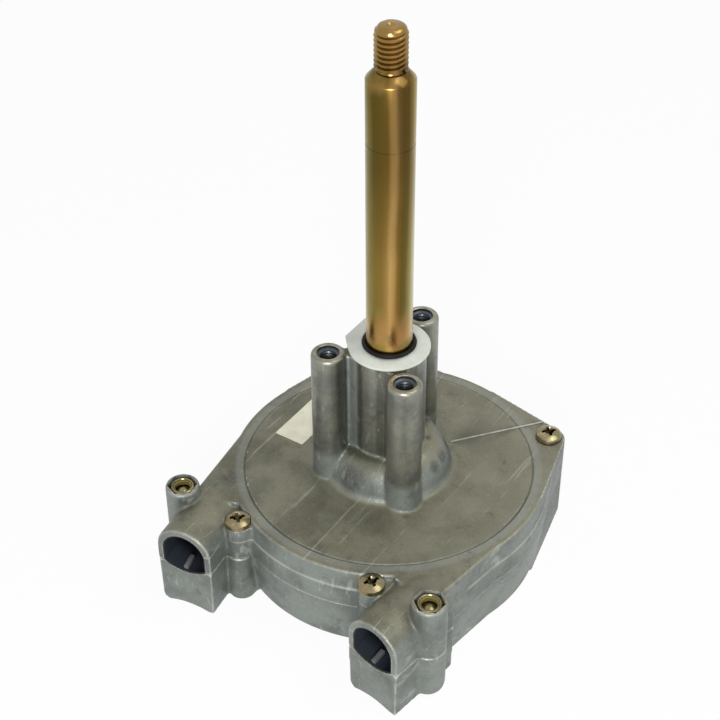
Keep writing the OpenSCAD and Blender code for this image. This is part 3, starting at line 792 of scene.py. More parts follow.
@dataclass(frozen=True)
class ZincFinish:
    """Yellow zinc on small parts: olive, brown and gold clouds, painted shade inside the recesses."""

    holes: tuple[tuple[float, float, float], ...] = ()
    name: str = "yellow_zinc_small"
    gloss: float = 0.23
    olive: Colour = tone(106, 101, 74)
    gold: Colour = tone(178, 168, 132)
    amber: Colour = tone(140, 124, 96)
    moss: Colour = tone(128, 124, 92)
    shade: Colour = tone(34, 30, 22)

    def make(self) -> bpy.types.Material:
        """Builds the material.

        Returns:
            The material.
        """
        paint = Paint(self.name)
        cloud = paint.noise(210, 3, 0.55)
        drift = paint.noise(70, 2, 0.5, shift=0.2)
        colour = paint.ramp(
            cloud * 0.65 + drift * 0.35,
            [(0.34, self.olive), (0.46, self.moss), (0.55, self.amber), (0.66, self.gold)],
        )
        height = paint.height()
        for x, y, level in self.holes:
            # Painted shade inside each cross recess.
            inside = paint.near([(x, y)]).span(3.9, 3.5) * height.span(level + 0.1, level - 0.1)
            colour = paint.blend(inside * 0.85, colour, self.shade)
        paint.bump(paint.noise(1600, 2, 0.5), 0.06, 0.0001)
        return paint.done(
            Base_Color=colour, Metallic=1.0,
            Roughness=drift.span(0.3, 0.7, self.gloss - 0.05, self.gloss + 0.08),
        )


@dataclass(frozen=True)
class ShaftFinish:
    """Yellow zinc on the drawn shaft: painted reflections as broad bands along it, browner towards
    the thread.
    """

    name: str = "yellow_zinc_shaft"
    heading: float = 32.5
    radius: float = 9.525
    # Painted reflections: colours across the shaft, from its left edge to its right edge as seen
    # along the heading.
    low_painted_reflections: tuple[tuple[float, Colour], ...] = (
        (0.0, tone(150, 146, 104)), (0.07, tone(138, 124, 62)), (0.2, tone(130, 110, 52)),
        (0.36, tone(140, 112, 55)), (0.44, tone(158, 126, 68)), (0.52, tone(196, 160, 98)),
        (0.58, tone(180, 146, 86)), (0.65, tone(134, 102, 48)), (0.73, tone(105, 87, 36)),
        (0.81, tone(104, 92, 40)), (0.9, tone(150, 136, 82)), (0.98, tone(200, 196, 160)),
    )
    high_painted_reflections: tuple[tuple[float, Colour], ...] = (
        (0.0, tone(140, 136, 94)), (0.07, tone(114, 104, 44)), (0.16, tone(90, 75, 32)),
        (0.36, tone(97, 80, 33)), (0.43, tone(102, 80, 36)), (0.5, tone(142, 112, 60)),
        (0.57, tone(146, 117, 70)), (0.65, tone(102, 80, 43)), (0.73, tone(88, 70, 33)),
        (0.83, tone(88, 71, 31)), (0.9, tone(124, 101, 48)), (0.98, tone(164, 152, 100)),
    )
    warm: Colour = tone(212, 154, 100)
    green: Colour = tone(120, 134, 70)
    foot: Colour = tone(158, 140, 66)
    thread: Colour = tone(162, 130, 76)

    def make(self) -> bpy.types.Material:
        """Builds the material.

        Returns:
            The material.
        """
        paint = Paint(self.name)
        streak = paint.noise(150, 3, 0.55, stretch=(1.0, 1.0, 0.05))
        drift = paint.noise(60, 3, 0.55, stretch=(1.0, 1.0, 0.35), shift=0.2)
        # The position across the shaft along the heading picks the painted reflection band.
        spot = paint.across(self.heading) * (0.5 / self.radius) + 0.5
        spot = spot + streak * 0.1 + drift * 0.12 - 0.11
        height = paint.height() + drift * 40.0 - 20.0
        low = paint.ramp(spot, list(self.low_painted_reflections))
        high = paint.ramp(spot, list(self.high_painted_reflections))
        colour = paint.blend(height.span(145, 196), low, high)
        colour = paint.blend(height.span(136, 112) * 0.5, colour, self.warm)
        colour = paint.blend(height.span(114, 108) * 0.6, colour, self.foot)
        colour = paint.blend(height.span(226, 236) * 0.65, colour, self.thread)
        patch = paint.noise(95, 2, 0.5, shift=0.6).span(0.5, 0.66)
        colour = paint.blend(patch * height.span(150, 116) * 0.5, colour, self.green)
        paint.bump(streak + paint.noise(1600, 2, 0.5) * 0.4, 0.05, 0.0001)
        return paint.done(
            Base_Color=colour, Metallic=1.0, Roughness=drift.span(0.3, 0.7, 0.2, 0.3),
        )


@dataclass(frozen=True)
class GuideFinish:
    """Dark moulded plastic with painted light: blue-grey where a wall faces the open side near the
    mouth, painted shade nearly black elsewhere.
    """

    name: str = "dark_guide"
    lit: Colour = tone(48, 54, 62)
    shaded_black: Colour = tone(14, 14, 17)
    open_side: Point2 = (0.84, 0.54)

    def make(self) -> bpy.types.Material:
        """Builds the material.

        Returns:
            The material.
        """
        paint = Paint(self.name)
        geometry = paint.node("ShaderNodeNewGeometry", out="Normal")
        # Painted light and shade: lit towards the open side and near the mouth, black deeper in.
        facing = paint.vector("DOT_PRODUCT", geometry, (*self.open_side, 0.62), "Value")
        fine = paint.noise(500, 3, 0.55)
        shallow = (paint.part("Y") * 1000.0).span(-72.0, -80.0)
        lit = (facing + fine * 0.2).span(0.25, 0.75) * shallow
        colour = paint.blend(lit, self.shaded_black, self.lit)
        paint.bump(fine, 0.06, 0.0002)
        return paint.done(
            Base_Color=colour, Roughness=fine.span(0.3, 0.7, 0.42, 0.55), Specular_IOR_Level=0.25,
        )


@dataclass(frozen=True)
class PlainFinish:
    """Moulded or turned finish with a little tone variation and a fine grain."""

    name: str
    base: Colour
    shade: Colour
    rough: float
    metal: float = 0.0
    grain: float = 700.0
    relief: float = 0.05
    gleam: float = 0.5

    def make(self) -> bpy.types.Material:
        """Builds the material.

        Returns:
            The material.
        """
        paint = Paint(self.name)
        cloud = paint.noise(160, 4, 0.6)
        fine = paint.noise(self.grain, 3, 0.55)
        colour = paint.blend(cloud.span(0.3, 0.7), self.shade, self.base)
        paint.bump(fine, self.relief, 0.0002)
        return paint.done(
            Base_Color=colour, Metallic=self.metal, Specular_IOR_Level=self.gleam,
            Roughness=fine.span(0.3, 0.7, self.rough - 0.05, self.rough + 0.05),
        )


class Finishes:
    """All the materials of the helm."""

    def __init__(self, castings: "Castings", recesses: list[tuple[float, float, float]]) -> None:
        """Makes each finish once.

        Args:
            castings: Gives the axes of the tapped bosses.
            recesses: Axis and level of the cross recess of each pan-head screw.
        """
        self.cast = CastFinish(castings.boss_spots(), castings.boss_top).make()
        self.shaft = ShaftFinish().make()
        self.zinc = ZincFinish(tuple(recesses)).make()
        self.nylon = PlainFinish("white_nylon", tone(215, 220, 211), tone(202, 207, 197), 0.42).make()
        self.rubber = PlainFinish(
            "black_rubber", tone(18, 14, 13), tone(12, 10, 10), 0.5, gleam=0.18).make()
        self.guide = GuideFinish().make()
        self.tongue = PlainFinish("grey_tongue", tone(98, 99, 97), tone(78, 80, 80), 0.5).make()
        self.film = PlainFinish("label_film", tone(246, 242, 220), tone(232, 228, 202), 0.5).make()
        self.insert = PlainFinish("nut_insert", tone(112, 102, 50), tone(88, 80, 36), 0.4).make()
        self.steel = PlainFinish(
            "gear_steel", tone(150, 150, 154), tone(120, 120, 126), 0.32, 1.0, 1200.0).make()
        self.bronze = PlainFinish(
            "bronze", tone(178, 134, 78), tone(150, 108, 62), 0.34, 1.0, 1200.0).make()
        self.dark_steel = PlainFinish(
            "spring_steel", tone(72, 72, 76), tone(52, 52, 56), 0.38, 0.9, 1200.0).make()
        self.alloy = PlainFinish(
            "wheel_alloy", tone(156, 157, 154), tone(132, 134, 132), 0.45, 0.8, 900.0).make()


@dataclass
class Castings:
    """The front cover and the rear housing, with everything that is cast on them."""

    parting: float = 24.0
    plate: float = 42.5
    ring_level: float = 42.28
    cover_r: float = 68.8
    flange_r: float = 70.0
    foot_r: float = 66.9
    top_r: float = 69.5
    tilt: float = 8.6
    path: float = 59.2
    reach: float = 77.2
    barrel_r: float = 12.6
    barrel_z: float = 32.8
    socket_r: float = 10.1
    socket_z: float = 30.9
    socket_end: float = -50.4
    arm_end: float = -51.1
    nut: Point2 = (70.4, -56.1)
    nut_r: float = 7.3
    nut_top: float = 49.0
    screw: Point2 = (42.7, -59.0)
    screw_r: float = 5.2
    screw_top: float = 40.0
    tower_r: float = 15.5
    tower_top: float = 105.7
    boss_top: float = 106.2
    barrel_squash: float = 0.86
    boss_r: float = 7.3
    boss_path: float = 25.4
    boss_angles: tuple[float, ...] = (90.0, 223.2, 316.8)
    lobe_path: float = 73.0
    lobe_r: float = 7.3
    lobe_angles: tuple[float, ...] = (46.0, 134.0)
    bowl_r: float = 18.5
    bowl_z: float = 39.5
    grain: float = 0.62
    pilot_r: float = 2.9
    bolt_hole_r: float = 3.33
    passage_r: float = 6.0
    arm_in: float = 48.0
    chest_end: float = -41.4
    passage_end: float = -11.0
    pin_path: float = 27.0
    hollow_r: float = 29.5
    hollow_depth: float = 2.35
    seam_start: Point2 = (15.8, 25.7)
    seam_end: Point2 = (43.8, 60.3)

    def boss_spots(self) -> tuple[Point2, ...]:
        """Plan positions of the tapped bosses."""
        return tuple(polar(self.boss_path, angle) for angle in self.boss_angles)

    def on_outlet(self, shape: Shape, side: Side) -> Shape:
        """Moves a solid from the outlet's own frame to the row frame.

        Args:
            shape: The solid.
            side: Which outlet.

        Returns:
            The moved solid.
        """
        shape.move(Matrix.Rotation(math.radians(-self.tilt), 4, "Z"))
        return shape.move(Matrix.Diagonal((side.value, 1, 1, 1)))

    def lobe(self, body: float, angle: float, low: float, high: float) -> Shape:
        """Ear round a rear screw, with flanks that run into the round body.

        Args:
            body: Radius of the round body.
            angle: Direction of the screw from +X.
            low: Lower height.
            high: Upper height.

        Returns:
            The solid.
        """
        spread = math.degrees(math.acos((body - self.lobe_r) / self.lobe_path))
        centre = polar(self.lobe_path, angle)
        tip = arc(centre, self.lobe_r, angle - spread, angle + spread, 24)
        outline = [(0.0, 0.0), polar(body, angle - spread), *tip, polar(body, angle + spread)]
        return Shape.prism(outline, low, high)

    def bar(self, radius: float, spot: Point2, low: float, high: float,
            tip: float | None = None) -> Shape:
        """Upright round bar at a plan position."""
        return Shape.rod(radius, Vector((*spot, low)), Vector((*spot, high)), tip)

    def cover_body(self) -> Shape:
        """Round body of the cover with its rim, its recessed outer ring and its lobes.

        Returns:
            The solid.
        """
        shell = Shape.turned([
            (0, self.parting), (self.flange_r, self.parting), (self.flange_r - 0.15, 33.2),
            (69.5, 33.7), (self.cover_r + 0.15, 34.0), (self.cover_r - 0.1, 41.4),
            (self.cover_r - 0.7, self.ring_level), (63.0, self.ring_level),
            (62.6, self.plate), (0, self.plate),
        ], 160)
        for angle in self.lobe_angles:
            shell.plus(self.lobe(self.cover_r, angle, self.parting, self.ring_level))
        return shell

    def cover_outlet(self, side: Side) -> Shape:
        """Upper half of one outlet: arm, barrel, nut boss and screw boss.

        Args:
            side: Which outlet.

        Returns:
            The solid.
        """
        arm = Shape.along([
            (self.arm_in, self.parting), (69.3, self.parting), (69.15, 33.0), (68.2, 33.8),
            (68.0, 41.2), (67.2, self.ring_level), (self.arm_in, self.ring_level),
        ], self.arm_end, 1.0)
        turn = Matrix.Translation((self.path, -self.reach, self.barrel_z))
        end = [(self.barrel_r * math.cos(a), 31.0 + self.barrel_r * math.sin(a))
               for a in (math.radians(10 * k) for k in range(9))]
        barrel = Shape.turned(
            [(0, 0), (self.barrel_r - 0.5, 0), (self.barrel_r, 0.6), *end,
             (0, 31.0 + self.barrel_r)], 64,
        )
        lay = Matrix.Diagonal((1, 1, self.barrel_squash, 1)) @ Matrix.Rotation(-math.pi / 2, 4, "X")
        barrel.move(turn @ lay)
        half = self.barrel_r
        chest = Shape.along([
            (self.path - half, self.parting), (self.path + half, self.parting),
            (self.path + half, self.barrel_z), (self.path - half, self.barrel_z),
        ], -self.reach, self.chest_end)
        nut = Shape.turned([
            (0, self.parting), (self.nut_r + 0.15, self.parting), (self.nut_r - 0.05, 48.2),
            (self.nut_r - 0.7, self.nut_top), (0, self.nut_top),
        ], 48).at(*self.nut)
        saddle = Shape.prism(
            [(self.path + 4, -62.0), (self.nut[0], -62.6), (self.nut[0] + 0.5, -49.8),
             (self.path + 4, -50.0)], self.parting, 40.5)
        screw = Shape.turned([
            (0, self.parting), (self.screw_r + 0.15, self.parting),
            (self.screw_r, self.screw_top), (0, self.screw_top),
        ], 40).at(*self.screw)
        web = Shape.prism(
            [(self.screw[0] - 3.4, -59), (self.path - 8, -60), (self.path - 8, -50),
             (self.screw[0] - 1.4, -50)], self.parting, self.screw_top - 0.3)
        inward = Vector(self.screw).normalized()
        beside = Vector((-inward.y, inward.x)) * 5.4
        near, far = Vector(self.screw), Vector(self.screw) - inward * 9.0
        pad = Shape.prism([tuple(near + beside), tuple(far + beside), tuple(far - beside),
                           tuple(near - beside)], self.parting, self.screw_top - 0.1)
        return self.on_outlet(arm.plus(barrel, chest, nut, saddle, screw, web, pad), side)

    def tower(self) -> Shape:
        """Shaft tower with its hub dome, bosses and webs.

        Returns:
            The solid.
        """
        tower = Shape.turned([
            (0, 23.3), (self.tower_r, 23.3), (self.tower_r, self.tower_top - 0.3),
            (self.tower_r - 0.3, self.tower_top), (0, self.tower_top),
        ], 72)
        dome = [(self.tower_r - 0.2 + 11.6 * math.cos(a), self.plate + 15.5 * math.sin(a))
                for a in (math.radians(9 * k) for k in range(1, 11))]
        tower.plus(Shape.turned([
            (0, 40.5), (29.2, 40.5), (28.9, self.plate + 0.1), (27.7, self.plate + 0.8), *dome,
            (0, self.plate + 15.5),
        ], 96))
        for angle in self.boss_angles:
            boss = Shape.turned([
                (0, 40.5), (self.boss_r + 0.25, 40.5), (self.boss_r - 0.05, self.boss_top - 1.3),
                (self.boss_r - 0.45, self.boss_top - 0.4), (self.boss_r - 1.3, self.boss_top),
                (0, self.boss_top),
            ], 48).at(*polar(self.boss_path, angle))
            half = [(0, 7.6), (13.2, 7.6), (17.4, 3.2), (19.2, 2.4), (self.boss_path, 2.4)]
            outline = [*half, *((u, -v) for u, v in reversed(half))]
            web = Shape.prism(outline, 40.5, 105.2).at(0, 0, 0, angle)
            tower.plus(boss, web)
        return tower

    def threaded_hole(self, depth: float, radius: float, pitch: float) -> Shape:
        """Cutter of a tapped hole, its countersunk mouth at z = 0.

        Args:
            depth: Depth below the mouth.
            radius: Radius at the thread roots.
            pitch: Pitch of the thread.

        Returns:
            The cutter.
        """
        profile = [(0.0, -depth), (radius - 0.4, -depth)]
        height = -depth + pitch
        while height < -pitch - 1.4:
            profile += [(radius - 0.4, height), (radius, height + pitch / 2)]
            height += pitch
        profile += [(radius - 0.4, height), (radius + 0.65, height + 0.5), (radius + 0.72, -0.3),
                    (radius + 1.05, 0.02), (radius + 1.05, 3.0), (0.0, 3.0)]
        return Shape.turned(profile, 40)

    def throat(self, gap: float) -> list[Point2]:
        """Section of a cable guide, a gap inside its socket: a half circle over a bowl.

        Args:
            gap: Distance to the socket wall.

        Returns:
            Points in X and Z.
        """
        half, bowl = self.socket_r - gap, self.bowl_r - gap
        reach = math.degrees(math.asin(half / bowl))
        top = arc((self.path, self.socket_z), half, 0, 180, 28)
        return [*top, *arc((self.path, self.bowl_z), bowl, 270 - reach, 270 + reach, 16)]

    def arch(self, half: float, centre_z: float, low: float) -> list[Point2]:
        """Section of a socket: straight sides under a half circle.

        Args:
            half: Half width.
            centre_z: Height of the centre of the half circle.
            low: Height of the foot.

        Returns:
            Points in X and Z.
        """
        top = arc((self.path, centre_z), half, 0, 180, 28)
        return [*top, (self.path - half, low), (self.path + half, low)]

    def outlet_cuts(self, side: Side) -> list[Shape]:
        """What is cut out of one outlet of the cover.

        Args:
            side: Which outlet.

        Returns:
            The cutters.
        """
        mouth = Shape.along(self.arch(self.socket_r, self.socket_z, 20), -90, self.socket_end)
        passage = Shape.rod(self.passage_r, Vector((self.path, self.socket_end - 1, self.socket_z)),
                            Vector((self.path, self.passage_end, self.socket_z)))
        hexagon = [polar(6.5, 30 + 60 * k) for k in range(6)]
        pocket = Shape.prism(hexagon, 40.8, 60).at(*self.nut)
        spot = self.bar(5.75, self.screw, self.screw_top + 0.02, 60)
        holes = self.bar(self.bolt_hole_r, self.nut, 15, 60)
        pilot = self.bar(self.pilot_r, self.screw, 15, 60)
        return [self.on_outlet(shape, side)
                for shape in (mouth, passage, pocket, spot, holes, pilot)]

    def cover(self) -> bpy.types.Object:
        """Builds the front cover.

        Returns:
            The finished object.
        """
        solid = self.cover_body()
        solid.plus(self.tower(), *(self.cover_outlet(side) for side in Side))
        piece = Build("cover_casting", solid).cast(self.grain, 5, 0.42)
        low, high = 15.0, 38.5
        piece.cut(Shape.turned([
            (self.tower_r, low), (65.5, low), (65.5, high), (self.tower_r, high),
            (self.tower_r, 26.61), (14.4, 26.61), (14.4, 25.69), (self.tower_r, 25.69),
        ], 128, closed=True))
        piece.cut(Shape.turned([
            (0, 15), (12, 15), (12, 104.9), (12.8, self.tower_top), (12.8, 110), (0, 110),
        ], 64))
        for angle in self.boss_angles:
            hole = self.threaded_hole(26.0, 3.97, 1.411)
            piece.cut(hole.at(*polar(self.boss_path, angle), self.boss_top))
        for side in Side:
            piece.cut(*self.outlet_cuts(side))
        for angle in self.lobe_angles:
            spot = polar(self.lobe_path, angle)
            piece.cut(self.bar(self.pilot_r, spot, 15, 60))
            piece.cut(self.bar(5.9, spot, self.ring_level - 0.25, 60))
        piece.cut(Shape.turned([
            (62.1, self.plate + 1), (62.3, self.plate - 0.05), (62.6, self.plate - 0.45),
            (63.0, self.plate - 0.45), (63.4, self.plate - 0.12), (63.6, self.plate + 1),
        ], 160, closed=True))
        piece.join(self.seam())
        return piece.finish(38)

    def seam(self) -> Shape:
        """Thin raised line that the mould left on the plate.

        Returns:
            The solid.
        """
        start, end = Vector((*self.seam_start, 0)), Vector((*self.seam_end, 0))
        run = end - start
        side = Vector((-run.y, run.x, 0)).normalized() * 0.4
        outline = [tuple((spot + sign * side).xy) for spot, sign in
                   ((start, -1), (end, -1), (end, 1), (start, 1))]
        return Shape.prism(outline, self.plate - 0.8, self.plate + 0.22)

    def housing_body(self) -> Shape:
        """Round body of the rear housing with its lobes.

        Returns:
            The solid.
        """
        shell = Shape.turned([
            (0, 0), (self.foot_r - 1.9, 0), (self.foot_r - 0.5, 0.7), (self.foot_r + 0.15, 2.2),
            (self.top_r, self.parting), (0, self.parting),
        ], 160)
        for angle in self.lobe_angles:
            shell.plus(self.lobe(self.foot_r + 0.6, angle, 0.0, self.parting))
        return shell

    def housing_outlet(self, side: Side) -> Shape:
        """Lower half of one outlet.

        Args:
            side: Which outlet.

        Returns:
            The solid.
        """
        arm = Shape.along([
            (self.arm_in, 0), (64.6, 0), (65.7, 0.8), (66.3, 2.4), (68.8, self.parting),
            (self.arm_in, self.parting),
        ], self.arm_end, 1.0)
        half, foot = self.barrel_r, self.barrel_r - 0.4
        crisp = [(foot - 0.5, 0), (foot, 0.6), (half, self.parting)]
        worn = [(-half, self.parting), (-foot, 3.2), (0.9 - foot, 1.0), (3.0 - foot, 0)]
        chest = Shape.along([(self.path + side.value * u, z) for u, z in (*crisp, *worn)],
                            -self.reach, self.chest_end)
        nut = Shape.turned([
            (0, 0), (self.nut_r - 3.6, 0), (self.nut_r - 1.7, 0.7), (self.nut_r - 0.5, 2.2),
            (self.nut_r - 0.1, 4.2), (self.nut_r + 0.1, self.parting), (0, self.parting),
        ], 48).at(*self.nut)
        foot_r = self.screw_r + 0.9
        screw = Shape.turned([
            (0, 0), (foot_r - 0.6, 0), (foot_r, 0.8), (foot_r - 0.5, self.parting),
            (0, self.parting),
        ], 40).at(*self.screw)
        x, y = self.screw
        flank = Shape.prism([(x - foot_r - 2.6, y + 10), (x - foot_r + 0.2, y + 0.5),
                             (self.path - 8, y - 2.0), (self.path - 8, y + 10)], 0, self.parting)
        return self.on_outlet(arm.plus(chest, nut, screw, flank), side)

    def under_hollow(self, side: Side) -> Shape:
        """Shallow round hollow along the underside of one outlet.

        Args:
            side: Which outlet.

        Returns:
            The cutter.
        """
        radius = self.hollow_r
        level = self.hollow_depth - radius
        start, end = Vector((self.path, -90, level)), Vector((self.path, -52, level))
        return self.on_outlet(Shape.rod(radius, start, end, steps=160), side)

    def housing_cuts(self, side: Side) -> list[Shape]:
        """What is cut out of the lower half of one outlet.

        Args:
            side: Which outlet.

        Returns:
            The cutters.
        """
        saddle = Shape.rod(self.bowl_r, Vector((self.path, -90, self.bowl_z)),
                           Vector((self.path, self.socket_end, self.bowl_z)), steps=128)
        bolt = self.bar(self.bolt_hole_r, self.nut, -5, 40)
        head = self.bar(5.7, self.nut, -5, 4.4)
        pilot = self.bar(self.pilot_r, self.screw, 7, 40)
        return [self.on_outlet(shape, side) for shape in (saddle, bolt, head, pilot)]

    def rear_panels(self) -> Shape:
        """Shallow recesses between the ribs of the rear face.

        Returns:
            The cutter.
        """
        panels = Shape()
        for turn in range(0, 360, 60):
            outline = arc((0, 0), 59.0, -26, 26, 18) + arc((0, 0), 36.0, 24, -24, 12)
            panels.plus(Shape.prism(outline, -2, 1.2).at(0, 0, 0, turn))
        return panels

    def housing(self) -> bpy.types.Object:
        """Builds the rear housing.

        Returns:
            The finished object.
        """
        solid = self.housing_body().plus(*(self.housing_outlet(side) for side in Side))
        piece = Build("housing_casting", solid).cast(self.grain, 5, 0.42)
        for side in Side:
            piece.cut(self.under_hollow(side))
        piece.cut(Shape.turned([(0, 4), (61.6, 4), (63.6, 6), (63.6, 40), (0, 40)], 128))
        pins = [polar(self.pin_path, angle) for angle in (90, 210, 330)]
        piece.join(*(self.bar(8.0, spot, 2, 9) for spot in pins))
        piece.join(self.bar(11.0, (0, 0), 2, 8.9))
        piece.cut(*(self.bar(4.0, spot, 2.2, 40) for spot in pins))
        piece.cut(self.bar(7.5, (0, 0), 2.2, 40))
        for side in Side:
            piece.cut(*self.housing_cuts(side))
        for angle in self.lobe_angles:
            piece.cut(self.bar(self.pilot_r, polar(self.lobe_path, angle), 7, 40))
        piece.cut(self.rear_panels())
        return piece.finish(38)


@dataclass
class Shaft:
    """Plated wheel shaft with its threaded stub."""

    radius: float = 9.525
    thread_r: float = 6.35
    root_r: float = 5.3
    pitch: float = 1.954
    shoulder: float = 227.6
    stub: float = 230.8
    tip: float = 248.2

    def thread(self) -> Shape:
        """Helical ridge of the stub, as one closed solid.

        Returns:
            The solid.
        """
        shape = Shape()
        steps = 40
        turns = 8.4
        foot, half, crest = self.root_r - 0.5, self.pitch * 0.52, self.pitch * 0.07
        start = self.stub + 0.6
        section = [(foot, start - half), (self.thread_r, start - crest),
                   (self.thread_r, start + crest), (foot, start + half)]
        verts = [shape.bm.verts.new((r, 0, z)) for r, z in section]
        face = shape.bm.faces.new(verts)
        bmesh.ops.spin(
            shape.bm, geom=[*verts, *face.edges, face], cent=(0, 0, 0), axis=(0, 0, 1),
            dvec=(0, 0, self.pitch / steps), angle=math.tau * turns, steps=int(steps * turns),
            use_merge=False, use_duplicate=False,
        )
        bmesh.ops.holes_fill(shape.bm, edges=shape.bm.edges[:], sides=0)
        return shape.tidy()

    def build(self) -> bpy.types.Object:
        """Builds the shaft.

        Returns:
            The finished object.
        """
        seat = self.shoulder - 26.5
        body = Shape.turned([
            (0, 2.6), (4, 2.6), (4, 9.9), (5.2, 9.9), (5.2, 22), (self.radius - 0.5, 22),
            (self.radius, 22.5), (self.radius, 23.8), (8.63, 23.8), (8.63, 24.7),
            (self.radius, 24.7), (self.radius, seat), (self.radius - 0.12, seat + 0.05),
            (self.radius - 0.12, seat + 0.55), (self.radius, seat + 0.6),
            (self.radius, self.shoulder - 0.3), (self.radius - 0.25, self.shoulder + 0.15),
            (self.thread_r + 0.3, self.stub - 0.25), (self.root_r + 0.3, self.stub + 0.1),
            (self.root_r, self.stub + 0.6), (self.root_r, self.tip - 1.2),
            (self.root_r - 0.5, self.tip - 0.35), (3.9, self.tip), (1.7, self.tip),
            (0, self.tip - 1.7),
        ], 96)
        piece = Build("shaft_turned", body).join(self.thread())
        piece.cut(Shape.turned([
            (3.9, self.tip + 0.02), (4.6, self.tip - 0.12), (5.6, self.tip - 0.9),
            (self.thread_r - 0.25, self.tip - 2.2), (self.thread_r + 0.02, self.tip - 3.2),
            (9, self.tip - 3.2), (9, self.tip + 3), (3.9, self.tip + 3),
        ], 64, closed=True))
        return piece.finish(32)


@dataclass
class Fasteners:
    """Pan-head screws, clamp bolts and lock nuts."""

    castings: Castings
    head_r: float = 5.65
    shank_r: float = 2.75
    slot_turns: tuple[float, ...] = (0.0, 14.0, 0.0, 22.0)
    nut_bore: float = 3.23
    nut_low: float = 40.9
    nut_top: float = 48.5
    nut_half: float = 5.55

    def head(self, seat: float, turn: float) -> tuple[Shape, list[Shape]]:
        """One screw and the cutters of its cross recess.

        Args:
            seat: Height of the seat above the rear face.
            turn: Turn of the cross in degrees.

        Returns:
            The screw and the cutters.
        """
        crown = arc((0, -4.67), 8.77, 52, 90, 9)
        profile = [(0, 8.0 - seat), (self.shank_r, 8.0 - seat), (self.shank_r, 0),
                   (self.head_r - 0.25, 0), (self.head_r, 0.35), (self.head_r, 1.6),
                   *crown[:-1], (0, 4.1)]
        cutters = []
        for angle in (45, 135):
            wedge = Shape.along(
                [(-3.9, 4.8), (-2.3, 1.7), (-0.9, 1.2), (0.9, 1.2), (2.3, 1.7), (3.9, 4.8)],
                -0.72, 0.72,
            ).at(0, 0, 0, angle + turn)
            cutters.append(wedge)
        cutters.append(Shape.rod(0.7, Vector((0, 0, 1.2)), Vector((0, 0, 4.8)), 2.9, 24))
        return Shape.turned(profile, 48), cutters

    def spots(self) -> list[tuple[float, float, float]]:
        """Axis and seat level of each cover screw.

        Returns:
            X, Y and level of each.
        """
        found = []
        for side in Side:
            spot = Matrix.Rotation(math.radians(-self.castings.tilt), 2) @ Vector(self.castings.screw)
            found.append((side.value * spot.x, spot.y, self.castings.screw_top))
        for angle in self.castings.lobe_angles:
            found.append((*polar(self.castings.lobe_path, angle), self.castings.plate))
        return found

    def recesses(self) -> list[tuple[float, float, float]]:
        """Axis of each cover screw and the level below which its recess gets painted shade."""
        return [(x, y, z + 3.1) for x, y, z in self.spots()]

    def screws(self) -> bpy.types.Object:
        """Builds the four cover screws.

        Returns:
            The finished object.
        """
        whole: Shape | None = None
        cutters: list[Shape] = []
        for (x, y, z), turn in zip(self.spots(), self.slot_turns):
            head, cuts = self.head(z, turn)
            head.at(x, y, z)
            whole = head if whole is None else whole.plus(head)
            cutters += [cutter.at(x, y, z) for cutter in cuts]
        return Build("pan_screws", whole).cut(*cutters).finish(30)

    def bolts(self) -> bpy.types.Object:
        """Builds the two clamp bolts.

        Returns:
            The finished object.
        """
        whole = Shape()
        for side in Side:
            bolt = Shape.turned([
                (0, 0.4), (2.2, 0.4), (2.9, 0.6), (2.9, 2.6), (3.2, 2.6), (3.2, 0.6), (4.6, 0.45),
                (5.3, 1.1), (5.5, 2.2), (5.5, 4.4), (3.175, 4.4), (3.175, 44.8), (2.9, 45.6),
                (1.3, 46.5), (0.9, 46.7), (0, 46.75),
            ], 40).at(*self.castings.nut)
            whole.plus(self.castings.on_outlet(bolt, side))
        return Build("clamp_bolt_pair", whole).finish(30)

    def nuts(self) -> bpy.types.Object:
        """Builds the two lock nuts.

        Returns:
            The finished object.
        """
        whole = Shape()
        low, top, half, bore = self.nut_low, self.nut_top, self.nut_half, self.nut_bore
        for side in Side:
            collar = Shape.turned([
                (bore, low), (half - 0.4, low), (half + 0.35, low + 0.5), (half + 0.35, low + 4.9),
                (half - 0.15, low + 5.6), (5.25, low + 6.0), (5.2, top - 1.0), (5.0, top - 0.4),
                (4.6, top - 0.06), (4.2, top - 0.1), (4.0, top - 0.35), (4.0, top - 0.6),
                (4.38, top - 0.7), (4.38, top - 2.55), (bore, top - 2.6),
            ], 48, closed=True).at(*self.castings.nut)
            hexagon = Shape.prism([polar(6.38, 30 + 60 * k) for k in range(6)],
                                  low + 0.5, low + 4.9).at(*self.castings.nut)
            whole.plus(self.castings.on_outlet(collar, side))
            whole.plus(self.castings.on_outlet(hexagon, side))
        piece = Build("lock_nuts", whole)
        for side in Side:
            hole = self.castings.bar(bore, self.castings.nut, 35, 60)
            piece.cut(self.castings.on_outlet(hole, side))
        return piece.finish(30)

    def rings(self) -> bpy.types.Object:
        """Builds the nylon rings of the lock nuts.

        Returns:
            The finished object.
        """
        whole = Shape()
        for side in Side:
            ring = Shape.turned([
                (self.nut_bore, 45.95), (4.36, 45.95), (4.36, 47.7), (4.0, 47.9), (3.5, 47.85),
                (self.nut_bore, 47.6),
            ], 40, closed=True).at(*self.castings.nut)
            whole.plus(self.castings.on_outlet(ring, side))
        return Build("nut_inserts", whole).finish(40)


